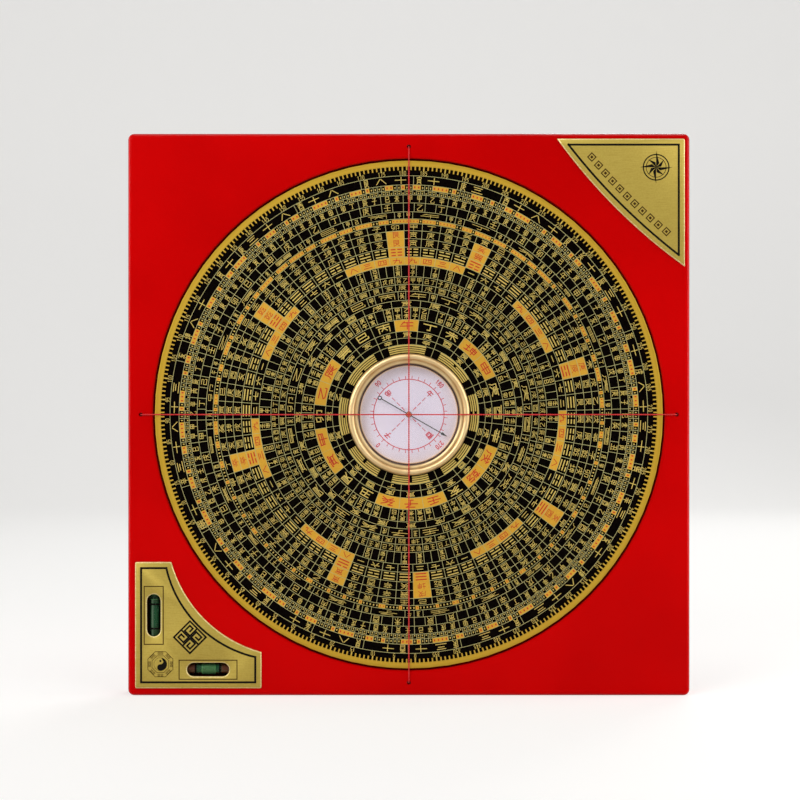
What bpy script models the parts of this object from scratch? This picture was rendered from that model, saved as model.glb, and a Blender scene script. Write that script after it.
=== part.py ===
# Feng shui compass: a square lacquered board, a turning dial and a compass in its middle.
# The board stands on its lower edge. X is to the right, Y goes in from the face, Z is up.
# The origin is the middle of the standing edge, halfway through the whole depth.
import math

import bmesh
import bpy
from mathutils import Matrix, Vector

MM = 0.001

# Board. Its side follows from the dial, and its depth from the fixings behind the dial.
BOARD_LAND = 12.8 * MM
BOARD_CORNER = 3.0 * MM
BOARD_EDGE = 2.2 * MM
RECESS_LIP = 1.2 * MM

# Gaps between pieces
GAP = 0.3 * MM
MERGE_DISTANCE = 0.0003 * MM
DIAL_GAP = 1.1 * MM
RUNNING_GAP = 0.5 * MM
OVERRUN = 1.0 * MM

# Dial
DIAL_RADIUS = 129.1 * MM
DIAL_PROUD = 0.5 * MM
PLATE_THICKNESS = 1.0 * MM
RIM_CHAMFER = 0.35 * MM

# Compass cup
CARD_RADIUS = 24.9 * MM
CUP_WALL = 2.2 * MM
CUP_FLOOR = 1.6 * MM
CUP_INSIDE_DEPTH = 6.0 * MM
CUP_SET_BACK = 0.8 * MM
FLANGE_WIDTH = 2.5 * MM
FLANGE_THICKNESS = 1.0 * MM
GLASS_SEAT_WIDTH = 1.2 * MM
GLASS_THICKNESS = 1.2 * MM
CARD_THICKNESS = 0.8 * MM
SPIGOT_RADIUS = 6.0 * MM
STUD_RADIUS = 3.0 * MM
STUD_PROJECTION = 0.2 * MM
STUD_CLEARANCE = 0.9 * MM

# Bezel and lens ring
BEZEL_WIDTH = 3.4 * MM
BEZEL_HEIGHT = 3.4 * MM
BEZEL_SKIRT = 0.75 * MM
LENS_RING_WIDTH = 1.95 * MM
LENS_RING_HEIGHT = 1.3 * MM
LENS_RING_EDGE = 0.4 * MM

# Ring nut under the dial
RING_NUT_WIDTH = 3.8 * MM
RING_NUT_THICKNESS = 2.0 * MM

# Needle, its cap and its pin
NEEDLE_ANGLE = math.radians(29.8)
NEEDLE_WIDTH = 0.7 * MM
NEEDLE_THICKNESS = 0.4 * MM
NEEDLE_TIP_MARGIN = 2.3 * MM
NEEDLE_HEAD_LENGTH = 3.4 * MM
NEEDLE_HEAD_WIDTH = 1.7 * MM
NEEDLE_TAIL_SHORTER = 4.9 * MM
NEEDLE_RING_RADIUS = 1.1 * MM
NEEDLE_RING_BORE = 0.6 * MM
NEEDLE_OVER_CARD = 2.4 * MM
CAP_RADIUS = 1.45 * MM
CAP_HEIGHT = 1.6 * MM
CAP_WALL = 0.6 * MM
PIN_RADIUS = 0.5 * MM
PIN_POINT_LENGTH = 0.9 * MM
PIN_SOCKET_DEPTH = 1.2 * MM

# Bearing and the fixings behind the board
WEB_THICKNESS = 4.0 * MM
BUSH_WALL = 2.2 * MM
BUSH_FLANGE_WIDTH = 2.5 * MM
BUSH_FLANGE_THICKNESS = 1.3 * MM
WASHER_OVERLAP = 1.7 * MM
WASHER_THICKNESS = 1.2 * MM
NUT_ACROSS_FLATS = 10.0 * MM
NUT_THICKNESS = 2.5 * MM
NUT_CHAMFER = 0.5 * MM
CHAMBER_CLEARANCE = 7.0 * MM
COVER_THICKNESS = 1.7 * MM
COVER_EDGE = 0.3 * MM
COVER_SCREW_MARGIN = 0.2 * MM
COVER_SCREW_RADIUS = 0.9 * MM
COVER_SCREW_HEAD_RADIUS = 1.6 * MM
COVER_SCREW_HEAD_DEPTH = 0.8 * MM
COVER_SCREW_LENGTH = 6.0 * MM
COVER_SCREW_COUNT = 4

# Threads, their holes and their knots
THREAD_RADIUS = 0.3 * MM
THREAD_BEND_RADIUS = 1.5 * MM
THREAD_HOLE_FROM_EDGE = 6.7 * MM
THREAD_HOLE_CLEARANCE = 0.7 * MM
KNOT_RADIUS = 1.5 * MM
KNOT_CLEARANCE = 1.1 * MM
KNOT_SET_IN = 1.7 * MM

# Corner plates
CORNER_PLATE_THICKNESS = 0.8 * MM
BARE_PLATE_MARGIN = 2.8 * MM
VIAL_PLATE_MARGIN = 3.9 * MM
CORNER_PLATE_ROUNDING = 0.8 * MM
BARE_PLATE_LEG = 65.0 * MM
BARE_PLATE_BULGE = 3.75 * MM
VIAL_PLATE_SIDE = 64.2 * MM
VIAL_PLATE_SHORT_SIDE = 18.4 * MM
VIAL_PLATE_HOLLOW = 8.6 * MM
WINDOW_LENGTH = 21.5 * MM
WINDOW_WIDTH = 6.9 * MM

# Vials
VIAL_RADIUS = 4.5 * MM
VIAL_WALL = 0.9 * MM
VIAL_LENGTH = 28.0 * MM
VIAL_FROM_PLATE_EDGE = 9.5 * MM
VIAL_FROM_PLATE_CORNER = 37.1 * MM
PLUG_LENGTH = 2.5 * MM
BUBBLE_RADIUS = 1.5 * MM
BUBBLE_LENGTH = 8.0 * MM
BUBBLE_WALL_GAP = 0.35 * MM

# Roundness of the turned pieces, in sides
DIAL_SIDES = 80
CUP_SIDES = 48
SMALL_SIDES = 24
TINY_SIDES = 12
ARC_STEPS = 8
CROWN_STEPS = 6
CORNER_STEPS = 3
BALL_STEPS = 4
LIP_STEPS = 3

# Depths from the board's face, positive going in
PLATE_TOP = -DIAL_PROUD
PLATE_BOTTOM = PLATE_TOP + PLATE_THICKNESS
DISC_TOP = PLATE_BOTTOM + GAP
CUP_INSIDE = CUP_INSIDE_DEPTH
CUP_OUTSIDE = CUP_INSIDE + CUP_FLOOR
DISC_BOTTOM = CUP_OUTSIDE + CUP_SET_BACK
RECESS_FLOOR = DISC_BOTTOM + RUNNING_GAP
WEB_BACK = RECESS_FLOOR + WEB_THICKNESS

FLANGE_BOTTOM = PLATE_TOP - GAP
FLANGE_TOP = FLANGE_BOTTOM - FLANGE_THICKNESS
GLASS_BOTTOM = FLANGE_TOP + GLASS_THICKNESS + GAP
GLASS_TOP = GLASS_BOTTOM - GLASS_THICKNESS
GLASS_SEAT = GLASS_BOTTOM + GAP
CARD_BOTTOM = CUP_INSIDE - GAP
CARD_TOP = CARD_BOTTOM - CARD_THICKNESS
NEEDLE_MIDDLE = CARD_TOP - NEEDLE_OVER_CARD
CAP_TOP = NEEDLE_MIDDLE - CAP_HEIGHT / 2
CAP_BOTTOM = CAP_TOP + CAP_HEIGHT

CUP_INNER_RADIUS = CARD_RADIUS + GAP
CUP_OUTER_RADIUS = CUP_INNER_RADIUS + CUP_WALL
GLASS_POCKET_RADIUS = CUP_INNER_RADIUS + GLASS_SEAT_WIDTH
GLASS_RADIUS = GLASS_POCKET_RADIUS - GAP
FLANGE_RADIUS = CUP_OUTER_RADIUS + FLANGE_WIDTH
DISC_BORE = CUP_OUTER_RADIUS + GAP
BEZEL_RADIUS = FLANGE_RADIUS + GAP + BEZEL_SKIRT
BEZEL_INNER_RADIUS = BEZEL_RADIUS - BEZEL_WIDTH
BEZEL_FLOOR = FLANGE_TOP - GAP
BEZEL_TOP = FLANGE_BOTTOM - BEZEL_HEIGHT
LENS_RING_OUTER_RADIUS = BEZEL_INNER_RADIUS - GAP
LENS_RING_TOP = BEZEL_FLOOR - LENS_RING_HEIGHT

NEEDLE_TIP_REACH = CARD_RADIUS - NEEDLE_TIP_MARGIN
NEEDLE_TAIL_REACH = NEEDLE_TIP_REACH - NEEDLE_TAIL_SHORTER
NEEDLE_RING_X = NEEDLE_RING_RADIUS - NEEDLE_TAIL_REACH
NEEDLE_HUB_RADIUS = CAP_RADIUS + GAP + NEEDLE_WIDTH / 2

RING_NUT_TOP = DISC_BOTTOM - RING_NUT_THICKNESS - GAP
RING_NUT_POCKET = RING_NUT_TOP - GAP
RING_NUT_RADIUS = DISC_BORE + RING_NUT_WIDTH
RING_NUT_POCKET_RADIUS = RING_NUT_RADIUS + GAP

BUSH_INNER_RADIUS = SPIGOT_RADIUS + GAP
BUSH_OUTER_RADIUS = BUSH_INNER_RADIUS + BUSH_WALL
BUSH_FLANGE_RADIUS = BUSH_OUTER_RADIUS + BUSH_FLANGE_WIDTH
BUSH_HOLE_RADIUS = BUSH_OUTER_RADIUS + GAP
BUSH_POCKET_RADIUS = BUSH_FLANGE_RADIUS + GAP
BUSH_POCKET_DEPTH = BUSH_FLANGE_THICKNESS + GAP
WASHER_RADIUS = BUSH_POCKET_RADIUS + WASHER_OVERLAP
WASHER_TOP = WEB_BACK + GAP
WASHER_BOTTOM = WASHER_TOP + WASHER_THICKNESS
NUT_TOP = WASHER_BOTTOM + GAP
NUT_BOTTOM = NUT_TOP + NUT_THICKNESS
STUD_END = NUT_BOTTOM + STUD_PROJECTION
COVER_TOP = STUD_END + STUD_CLEARANCE
COVER_SEAT = COVER_TOP - GAP
CHAMBER_RADIUS = WASHER_RADIUS + CHAMBER_CLEARANCE
COVER_LEDGE = 2 * (COVER_SCREW_HEAD_RADIUS + GAP + COVER_SCREW_MARGIN)
COVER_RADIUS = CHAMBER_RADIUS + COVER_LEDGE
COVER_POCKET_RADIUS = COVER_RADIUS + GAP
COVER_SCREW_CIRCLE = CHAMBER_RADIUS + COVER_LEDGE / 2

BOARD_SIDE = 2 * (DIAL_RADIUS + DIAL_GAP + BOARD_LAND)
BOARD_DEPTH = COVER_TOP + COVER_THICKNESS

THREAD_HOLE_REACH = BOARD_SIDE / 2 - THREAD_HOLE_FROM_EDGE
THREAD_HOLE_RADIUS = THREAD_RADIUS + THREAD_HOLE_CLEARANCE
KNOT_POCKET_RADIUS = KNOT_RADIUS + KNOT_CLEARANCE
KNOT_TOP = BOARD_DEPTH - KNOT_SET_IN - 2 * KNOT_RADIUS
KNOT_POCKET_TOP = KNOT_TOP - GAP

CORNER_PLATE_BOTTOM = -GAP
CORNER_PLATE_TOP = CORNER_PLATE_BOTTOM - CORNER_PLATE_THICKNESS
VIAL_BORE = VIAL_RADIUS - VIAL_WALL
FILL_RADIUS = VIAL_BORE - GAP
PLUG_END = VIAL_LENGTH / 2 - GAP
FLUID_LENGTH = 2 * (PLUG_END - PLUG_LENGTH - GAP)
BUBBLE_OFFSET = VIAL_BORE - BUBBLE_WALL_GAP - BUBBLE_RADIUS
BUBBLE_CHANNEL_RADIUS = BUBBLE_RADIUS + BUBBLE_WALL_GAP
BUBBLE_TRAVEL = (FLUID_LENGTH - BUBBLE_LENGTH) / 2 - GAP

# The threads pass over the bezel, and the upright one crosses over the level one
THREAD_OVER_BEZEL = BEZEL_TOP - GAP - THREAD_RADIUS
THREAD_CROSSING = THREAD_RADIUS + GAP / 2
FRONT_MOST = THREAD_OVER_BEZEL - THREAD_CROSSING - THREAD_RADIUS
THREAD_OVER_DIAL = PLATE_TOP - GAP - THREAD_RADIUS

# Where the assembly lies
FACE_Y = -(BOARD_DEPTH + FRONT_MOST) / 2
CENTRE_Z = BOARD_SIDE / 2
FACE_CENTRE = Vector((0, FACE_Y, CENTRE_Z))
TO_FIRST_AXIS = Matrix.Rotation(-math.pi / 2, 3, "Z")


def clear_scene():
    for item in list(bpy.data.objects):
        bpy.data.objects.remove(item)


def material(name, colour, roughness, metallic=0.0):
    made = bpy.data.materials.get(name) or bpy.data.materials.new(name)
    made.use_nodes = True
    shader = made.node_tree.nodes["Principled BSDF"]
    shader.inputs["Base Color"].default_value = (*colour, 1)
    shader.inputs["Roughness"].default_value = roughness
    shader.inputs["Metallic"].default_value = metallic
    return made


def red_lacquer():
    return material("red_lacquer", (0.55, 0.004, 0.003), 0.12)


def dial_black():
    return material("dial_black", (0.008, 0.007, 0.006), 0.35)


def brass():
    return material("brass", (0.82, 0.55, 0.22), 0.28, 1.0)


def brushed_brass():
    return material("brushed_brass", (0.50, 0.38, 0.13), 0.38, 1.0)


def steel():
    return material("steel", (0.42, 0.43, 0.45), 0.3, 1.0)


def dark_steel():
    return material("dark_steel", (0.03, 0.03, 0.035), 0.35, 1.0)


def clear_glass():
    return material("clear_glass", (0.9, 0.93, 0.92), 0.05)


def card_white():
    return material("card_white", (0.72, 0.66, 0.74), 0.6)


def disc_wood():
    return material("disc_wood", (0.20, 0.09, 0.04), 0.5)


def red_thread():
    return material("red_thread", (0.75, 0.01, 0.01), 0.55)


def green_spirit():
    return material("green_spirit", (0.01, 0.10, 0.03), 0.1)


def plug_rubber():
    return material("plug_rubber", (0.02, 0.03, 0.02), 0.4)


def bush_nylon():
    return material("bush_nylon", (0.75, 0.73, 0.66), 0.45)


def mesh_object(name, mesh_maker, finish, location, parent=None):
    shape = bmesh.new()
    mesh_maker(shape)
    bmesh.ops.remove_doubles(shape, verts=shape.verts, dist=MERGE_DISTANCE)
    bmesh.ops.recalc_face_normals(shape, faces=shape.faces)
    mesh = bpy.data.meshes.new(name)
    shape.to_mesh(mesh)
    shape.free()
    mesh.shade_smooth()
    mesh.set_sharp_from_angle(angle=math.radians(35))
    made = bpy.data.objects.new(name, mesh)
    bpy.context.collection.objects.link(made)
    if finish is not None:
        mesh.materials.append(finish)
    made.parent = parent
    made.location = location
    return made


def axis_empty(name, location, parent=None):
    made = bpy.data.objects.new(name, None)
    bpy.context.collection.objects.link(made)
    made.parent = parent
    made.location = location
    return made


def turned(outline, sides):
    """Turns an outline of (radius, depth) points about the depth axis into a closed solid."""
    def make(shape):
        points = [shape.verts.new((radius, depth, 0)) for radius, depth in outline]
        edges = [shape.edges.new(pair) for pair in zip(points, points[1:])]
        if min(outline[0][0], outline[-1][0]) > MERGE_DISTANCE:
            edges.append(shape.edges.new((points[-1], points[0])))
        bmesh.ops.spin(shape, geom=points + edges, cent=(0, 0, 0), axis=(0, 1, 0),
                       dvec=(0, 0, 0), angle=math.tau, steps=sides, use_merge=True)
    return make


def arc(centre, radius, start, end, steps=ARC_STEPS):
    """Points of an arc, with angles in radians counted from the first axis to the second."""
    angles = [start + (end - start) * i / steps for i in range(steps + 1)]
    return [(centre[0] + radius * math.cos(a), centre[1] + radius * math.sin(a)) for a in angles]


def crown(outer_radius, width, top, base):
    """The rounded top of a ring's section, from its outer edge over the crest to its inner edge."""
    rise = base - top
    middle = outer_radius - width / 2
    angles = [math.pi * i / CROWN_STEPS for i in range(CROWN_STEPS + 1)]
    return [(middle + width / 2 * math.cos(a), base - rise * math.sin(a)) for a in angles]


def prism(outline, top, bottom):
    """A flat plate from (x, z) points, between two depths."""
    def make(shape):
        points = [shape.verts.new((x, top, z)) for x, z in outline]
        face = shape.faces.new(points)
        solid = bmesh.ops.extrude_face_region(shape, geom=[face])
        moved = [item for item in solid["geom"] if isinstance(item, bmesh.types.BMVert)]
        bmesh.ops.translate(shape, verts=moved, vec=(0, bottom - top, 0))
    return make


def stadium(length, width, steps=ARC_STEPS):
    """An outline with two round ends, lying along its first axis."""
    reach = (length - width) / 2
    right = arc((reach, 0), width / 2, -math.pi / 2, math.pi / 2, steps)
    left = arc((-reach, 0), width / 2, math.pi / 2, 3 * math.pi / 2, steps)
    return right + left


def cutter(name, mesh_maker, location, parent=None):
    made = mesh_object(name, mesh_maker, None, location, parent)
    made.hide_render = True
    made.display_type = "WIRE"
    return made


def cut(target, tool):
    step = target.modifiers.new(tool.name, "BOOLEAN")
    step.operation = "DIFFERENCE"
    step.solver = "EXACT"
    step.object = tool


def rounded_block(half_width, half_height, top, bottom, corner, edge):
    """A square-faced block with rounded corners and a rounded front edge."""
    def make(shape):
        bmesh.ops.create_cube(shape, size=1)
        bmesh.ops.scale(shape, vec=(2 * half_width, bottom - top, 2 * half_height), verts=shape.verts)
        bmesh.ops.translate(shape, verts=shape.verts, vec=(0, (bottom + top) / 2, 0))
        through = [e for e in shape.edges if abs((e.verts[0].co - e.verts[1].co).y) > edge]
        bevel(shape, through, corner)
        bevel(shape, min(shape.faces, key=face_depth).edges, edge)
        bevel(shape, max(shape.faces, key=face_depth).edges, edge / 2)
    return make


def bevel(shape, edges, offset):
    bmesh.ops.bevel(shape, geom=list(edges), offset=offset, segments=4, affect="EDGES",
                    profile=0.5, material=-1)


def face_depth(face):
    return face.calc_center_median().y


def thread_hole_places():
    reach = THREAD_HOLE_REACH
    return {"top": (0, reach), "bottom": (0, -reach), "left": (-reach, 0), "right": (reach, 0)}


def cover_screw_places():
    turn = math.tau / COVER_SCREW_COUNT
    return [Vector((COVER_SCREW_CIRCLE * math.cos(turn * (i + 0.5)), 0,
                    COVER_SCREW_CIRCLE * math.sin(turn * (i + 0.5))))
            for i in range(COVER_SCREW_COUNT)]


def vial_corner():
    """The lower left corner of the plate that covers the vials, from the dial's axis."""
    corner = BOARD_SIDE / 2 - VIAL_PLATE_MARGIN
    return Vector((-corner, 0, -corner))


def vial_places():
    """Each vial's name with its middle from the dial's axis and its turn about the depth axis."""
    corner = vial_corner()
    upright = corner + Vector((VIAL_FROM_PLATE_EDGE, 0, VIAL_FROM_PLATE_CORNER))
    level = corner + Vector((VIAL_FROM_PLATE_CORNER, 0, VIAL_FROM_PLATE_EDGE))
    return {"upright": (upright, -math.pi / 2), "level": (level, 0.0)}


def board():
    half = BOARD_SIDE / 2
    block = rounded_block(half, half, 0, BOARD_DEPTH, BOARD_CORNER, BOARD_EDGE)
    made = mesh_object("board", block, red_lacquer(), FACE_CENTRE)
    cut(made, cutter("dial_recess", turned(recess_outline(), DIAL_SIDES), FACE_CENTRE))
    for name, (x, z) in thread_hole_places().items():
        place = FACE_CENTRE + Vector((x, 0, z))
        hole = cutter(f"thread_hole_{name}", turned(thread_hole_outline(), TINY_SIDES), place)
        cut(made, hole)
    for name, (place, turn) in vial_places().items():
        slot = cutter(f"vial_slot_{name}", vial_slot(), FACE_CENTRE + place)
        slot.rotation_euler.y = turn
        cut(made, slot)
    for i, place in enumerate(cover_screw_places()):
        hole = cutter(f"cover_screw_hole_{i + 1}", turned(cover_screw_hole_outline(), TINY_SIDES),
                      FACE_CENTRE + place)
        cut(made, hole)
    return made


def recess_outline():
    """The cut for the dial, the bearing, the washer's chamber and the cover, front to back."""
    wall = DIAL_RADIUS + DIAL_GAP
    front = -OVERRUN
    back = BOARD_DEPTH + OVERRUN
    lip = arc((wall + RECESS_LIP, RECESS_LIP), RECESS_LIP, -math.pi / 2, -math.pi, LIP_STEPS)
    return ([(0, front), (wall + RECESS_LIP, front)] + lip
            + [(wall, RECESS_FLOOR), (BUSH_HOLE_RADIUS, RECESS_FLOOR),
               (BUSH_HOLE_RADIUS, WEB_BACK - BUSH_POCKET_DEPTH),
               (BUSH_POCKET_RADIUS, WEB_BACK - BUSH_POCKET_DEPTH),
               (BUSH_POCKET_RADIUS, WEB_BACK), (CHAMBER_RADIUS, WEB_BACK),
               (CHAMBER_RADIUS, COVER_SEAT), (COVER_POCKET_RADIUS, COVER_SEAT),
               (COVER_POCKET_RADIUS, back), (0, back)])


def thread_hole_outline():
    return [(0, -OVERRUN), (THREAD_HOLE_RADIUS, -OVERRUN), (THREAD_HOLE_RADIUS, KNOT_POCKET_TOP),
            (KNOT_POCKET_RADIUS, KNOT_POCKET_TOP), (KNOT_POCKET_RADIUS, BOARD_DEPTH + OVERRUN),
            (0, BOARD_DEPTH + OVERRUN)]


def cover_screw_hole_outline():
    wall = COVER_SCREW_RADIUS + GAP
    top = BOARD_DEPTH - COVER_SCREW_LENGTH - GAP
    return [(0, top), (wall, top), (wall, COVER_TOP), (0, COVER_TOP)]


def vial_slot():
    length = VIAL_LENGTH / 2 + GAP
    width = VIAL_RADIUS + GAP
    corners = [(length, -width), (length, width), (-length, width), (-length, -width)]
    return prism(corners, -OVERRUN, 2 * VIAL_RADIUS + GAP)


def dial_plate(parent):
    """The thin plate that carries the rings of signs, with a chamfered rim."""
    bore = DISC_BORE
    outline = [(bore, PLATE_TOP), (DIAL_RADIUS - RIM_CHAMFER, PLATE_TOP),
               (DIAL_RADIUS, PLATE_TOP + RIM_CHAMFER), (DIAL_RADIUS, PLATE_BOTTOM),
               (bore, PLATE_BOTTOM)]
    return mesh_object("dial_plate", turned(outline, DIAL_SIDES), dial_black(), (0, 0, 0), parent)


def dial_disc(parent):
    outline = [(DISC_BORE, DISC_TOP), (DIAL_RADIUS, DISC_TOP),
               (DIAL_RADIUS, DISC_BOTTOM - RIM_CHAMFER), (DIAL_RADIUS - RIM_CHAMFER, DISC_BOTTOM),
               (RING_NUT_POCKET_RADIUS, DISC_BOTTOM), (RING_NUT_POCKET_RADIUS, RING_NUT_POCKET),
               (DISC_BORE, RING_NUT_POCKET)]
    return mesh_object("dial_disc", turned(outline, DIAL_SIDES), disc_wood(), (0, 0, 0), parent)


def compass_cup(parent):
    """The cup that holds the card and needle, with its spigot and threaded stud behind."""
    socket = PIN_RADIUS + GAP
    outline = [(0, CUP_INSIDE + PIN_SOCKET_DEPTH + GAP), (socket, CUP_INSIDE + PIN_SOCKET_DEPTH + GAP),
               (socket, CUP_INSIDE), (CUP_INNER_RADIUS, CUP_INSIDE),
               (CUP_INNER_RADIUS, GLASS_SEAT), (GLASS_POCKET_RADIUS, GLASS_SEAT),
               (GLASS_POCKET_RADIUS, FLANGE_TOP), (FLANGE_RADIUS, FLANGE_TOP),
               (FLANGE_RADIUS, FLANGE_BOTTOM), (CUP_OUTER_RADIUS, FLANGE_BOTTOM),
               (CUP_OUTER_RADIUS, CUP_OUTSIDE), (SPIGOT_RADIUS, CUP_OUTSIDE),
               (SPIGOT_RADIUS, WEB_BACK), (STUD_RADIUS, WEB_BACK),
               (STUD_RADIUS, STUD_END), (0, STUD_END)]
    return mesh_object("compass_cup", turned(outline, CUP_SIDES), brass(), (0, 0, 0), parent)


def compass_bezel(parent):
    """The thick rounded ring that covers the cup's flange."""
    skirt_inner = BEZEL_RADIUS - BEZEL_SKIRT
    outline = (crown(BEZEL_RADIUS, BEZEL_WIDTH, BEZEL_TOP, BEZEL_FLOOR)
               + [(skirt_inner, BEZEL_FLOOR), (skirt_inner, FLANGE_BOTTOM),
                  (BEZEL_RADIUS, FLANGE_BOTTOM)])
    return mesh_object("compass_bezel", turned(outline, CUP_SIDES), brass(), (0, 0, 0), parent)


def lens_ring(parent):
    """The ring inside the bezel that keeps the glass in and slopes down to it."""
    inner = LENS_RING_OUTER_RADIUS - LENS_RING_WIDTH
    outline = [(inner, BEZEL_FLOOR), (inner, BEZEL_FLOOR - LENS_RING_EDGE),
               (LENS_RING_OUTER_RADIUS - LENS_RING_EDGE, LENS_RING_TOP),
               (LENS_RING_OUTER_RADIUS, LENS_RING_TOP + LENS_RING_EDGE),
               (LENS_RING_OUTER_RADIUS, BEZEL_FLOOR)]
    return mesh_object("lens_ring", turned(outline, CUP_SIDES), brass(), (0, 0, 0), parent)


def compass_glass(parent):
    outline = [(0, GLASS_TOP), (GLASS_RADIUS, GLASS_TOP), (GLASS_RADIUS, GLASS_BOTTOM),
               (0, GLASS_BOTTOM)]
    return mesh_object("compass_glass", turned(outline, CUP_SIDES), clear_glass(), (0, 0, 0), parent)


def compass_card(parent):
    hole = PIN_RADIUS + GAP
    outline = [(hole, CARD_TOP), (CARD_RADIUS, CARD_TOP), (CARD_RADIUS, CARD_BOTTOM),
               (hole, CARD_BOTTOM)]
    return mesh_object("compass_card", turned(outline, CUP_SIDES), card_white(), (0, 0, 0), parent)


def pivot_pin(parent):
    tip = CAP_TOP + CAP_WALL + GAP
    foot = CUP_INSIDE + PIN_SOCKET_DEPTH
    outline = [(0, tip), (PIN_RADIUS, tip + PIN_POINT_LENGTH), (PIN_RADIUS, foot), (0, foot)]
    return mesh_object("pivot_pin", turned(outline, TINY_SIDES), steel(), (0, 0, 0), parent)


def needle_cap(parent):
    """A small bell with a blind hole that sits on the pin's point."""
    hole = PIN_RADIUS + GAP
    roof = CAP_TOP + CAP_WALL
    outline = [(0, CAP_TOP), (CAP_RADIUS - CAP_WALL / 2, CAP_TOP), (CAP_RADIUS, CAP_TOP + CAP_WALL / 2),
               (CAP_RADIUS, CAP_BOTTOM), (hole, CAP_BOTTOM), (hole, roof), (0, roof)]
    return mesh_object("needle_cap", turned(outline, TINY_SIDES), brass(), (0, 0, 0), parent)


def needle_outline():
    """From the ring at the tail along the lower side to the tip, and back along the upper side."""
    half = NEEDLE_WIDTH / 2
    neck = NEEDLE_TIP_REACH - NEEDLE_HEAD_LENGTH
    ring_join = math.asin(half / NEEDLE_RING_RADIUS)
    hub_join = math.asin(half / NEEDLE_HUB_RADIUS)
    ring = arc((NEEDLE_RING_X, 0), NEEDLE_RING_RADIUS, ring_join, math.tau - ring_join, 2 * ARC_STEPS)
    lower_hub = arc((0, 0), NEEDLE_HUB_RADIUS, math.pi + hub_join, math.tau - hub_join)
    head = [(neck, -half), (neck, -NEEDLE_HEAD_WIDTH / 2), (NEEDLE_TIP_REACH, 0),
            (neck, NEEDLE_HEAD_WIDTH / 2), (neck, half)]
    upper_hub = arc((0, 0), NEEDLE_HUB_RADIUS, hub_join, math.pi - hub_join)
    return ring + lower_hub + head + upper_hub


def through_hole(radius, top, bottom):
    """A round cut right through what lies between two depths."""
    outline = [(0, top - OVERRUN), (radius, top - OVERRUN), (radius, bottom + OVERRUN),
               (0, bottom + OVERRUN)]
    return turned(outline, TINY_SIDES)


def needle(parent):
    """The flat needle, with a hole for its cap and an open ring at its tail."""
    top = NEEDLE_MIDDLE - NEEDLE_THICKNESS / 2
    bottom = NEEDLE_MIDDLE + NEEDLE_THICKNESS / 2
    made = mesh_object("needle", prism(needle_outline(), top, bottom), dark_steel(), (0, 0, 0), parent)
    cut(made, cutter("cap_hole", through_hole(CAP_RADIUS + GAP, top, bottom), (0, 0, 0), parent))
    cut(made, cutter("needle_ring_hole", through_hole(NEEDLE_RING_BORE, top, bottom),
                     (NEEDLE_RING_X, 0, 0), parent))
    return made


def ring_nut(parent):
    bottom = RING_NUT_TOP + RING_NUT_THICKNESS
    outline = [(DISC_BORE, RING_NUT_TOP), (RING_NUT_RADIUS, RING_NUT_TOP), (RING_NUT_RADIUS, bottom),
               (DISC_BORE, bottom)]
    return mesh_object("ring_nut", turned(outline, CUP_SIDES), brass(), (0, 0, 0), parent)


def bearing_bush():
    flange = WEB_BACK - BUSH_FLANGE_THICKNESS
    top = RECESS_FLOOR + GAP
    outline = [(BUSH_INNER_RADIUS, top), (BUSH_OUTER_RADIUS, top), (BUSH_OUTER_RADIUS, flange),
               (BUSH_FLANGE_RADIUS, flange), (BUSH_FLANGE_RADIUS, WEB_BACK),
               (BUSH_INNER_RADIUS, WEB_BACK)]
    return mesh_object("bearing_bush", turned(outline, SMALL_SIDES), bush_nylon(), FACE_CENTRE)


def retaining_washer(parent):
    hole = STUD_RADIUS + GAP
    outline = [(hole, WASHER_TOP), (WASHER_RADIUS, WASHER_TOP), (WASHER_RADIUS, WASHER_BOTTOM),
               (hole, WASHER_BOTTOM)]
    return mesh_object("retaining_washer", turned(outline, SMALL_SIDES), steel(), (0, 0, 0), parent)


def retaining_nut(parent):
    """A thin hexagon nut, its corners chamfered on the outer side."""
    corner = NUT_ACROSS_FLATS / 2 / math.cos(math.pi / 6)
    outline = [(0, NUT_TOP), (corner, NUT_TOP), (corner, NUT_BOTTOM - NUT_CHAMFER / 2),
               (corner - NUT_CHAMFER, NUT_BOTTOM), (0, NUT_BOTTOM)]
    made = mesh_object("retaining_nut", turned(outline, 6), steel(), (0, 0, 0), parent)
    cut(made, cutter("nut_hole", through_hole(STUD_RADIUS + GAP, NUT_TOP, NUT_BOTTOM), (0, 0, 0), parent))
    return made


def back_cover():
    outline = [(0, COVER_TOP), (COVER_RADIUS, COVER_TOP), (COVER_RADIUS, BOARD_DEPTH - COVER_EDGE),
               (COVER_RADIUS - COVER_EDGE, BOARD_DEPTH), (0, BOARD_DEPTH)]
    made = mesh_object("back_cover", turned(outline, CUP_SIDES), brushed_brass(), FACE_CENTRE)
    shaft = COVER_SCREW_RADIUS + GAP
    head = COVER_SCREW_HEAD_RADIUS + GAP
    seat = BOARD_DEPTH - COVER_SCREW_HEAD_DEPTH - GAP
    hole = [(0, COVER_TOP - OVERRUN), (shaft, COVER_TOP - OVERRUN), (shaft, seat),
            (head, seat), (head, BOARD_DEPTH + OVERRUN), (0, BOARD_DEPTH + OVERRUN)]
    for i, place in enumerate(cover_screw_places()):
        cut(made, cutter(f"cover_hole_{i + 1}", turned(hole, TINY_SIDES), FACE_CENTRE + place))
    return made


def cover_screws():
    seat = BOARD_DEPTH - COVER_SCREW_HEAD_DEPTH
    start = BOARD_DEPTH - COVER_SCREW_LENGTH
    outline = [(0, start), (COVER_SCREW_RADIUS, start + COVER_SCREW_RADIUS),
               (COVER_SCREW_RADIUS, seat), (COVER_SCREW_HEAD_RADIUS, seat),
               (COVER_SCREW_HEAD_RADIUS, BOARD_DEPTH), (0, BOARD_DEPTH)]
    for i, place in enumerate(cover_screw_places()):
        mesh_object(f"cover_screw_{i + 1}", turned(outline, TINY_SIDES), steel(), FACE_CENTRE + place)


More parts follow.
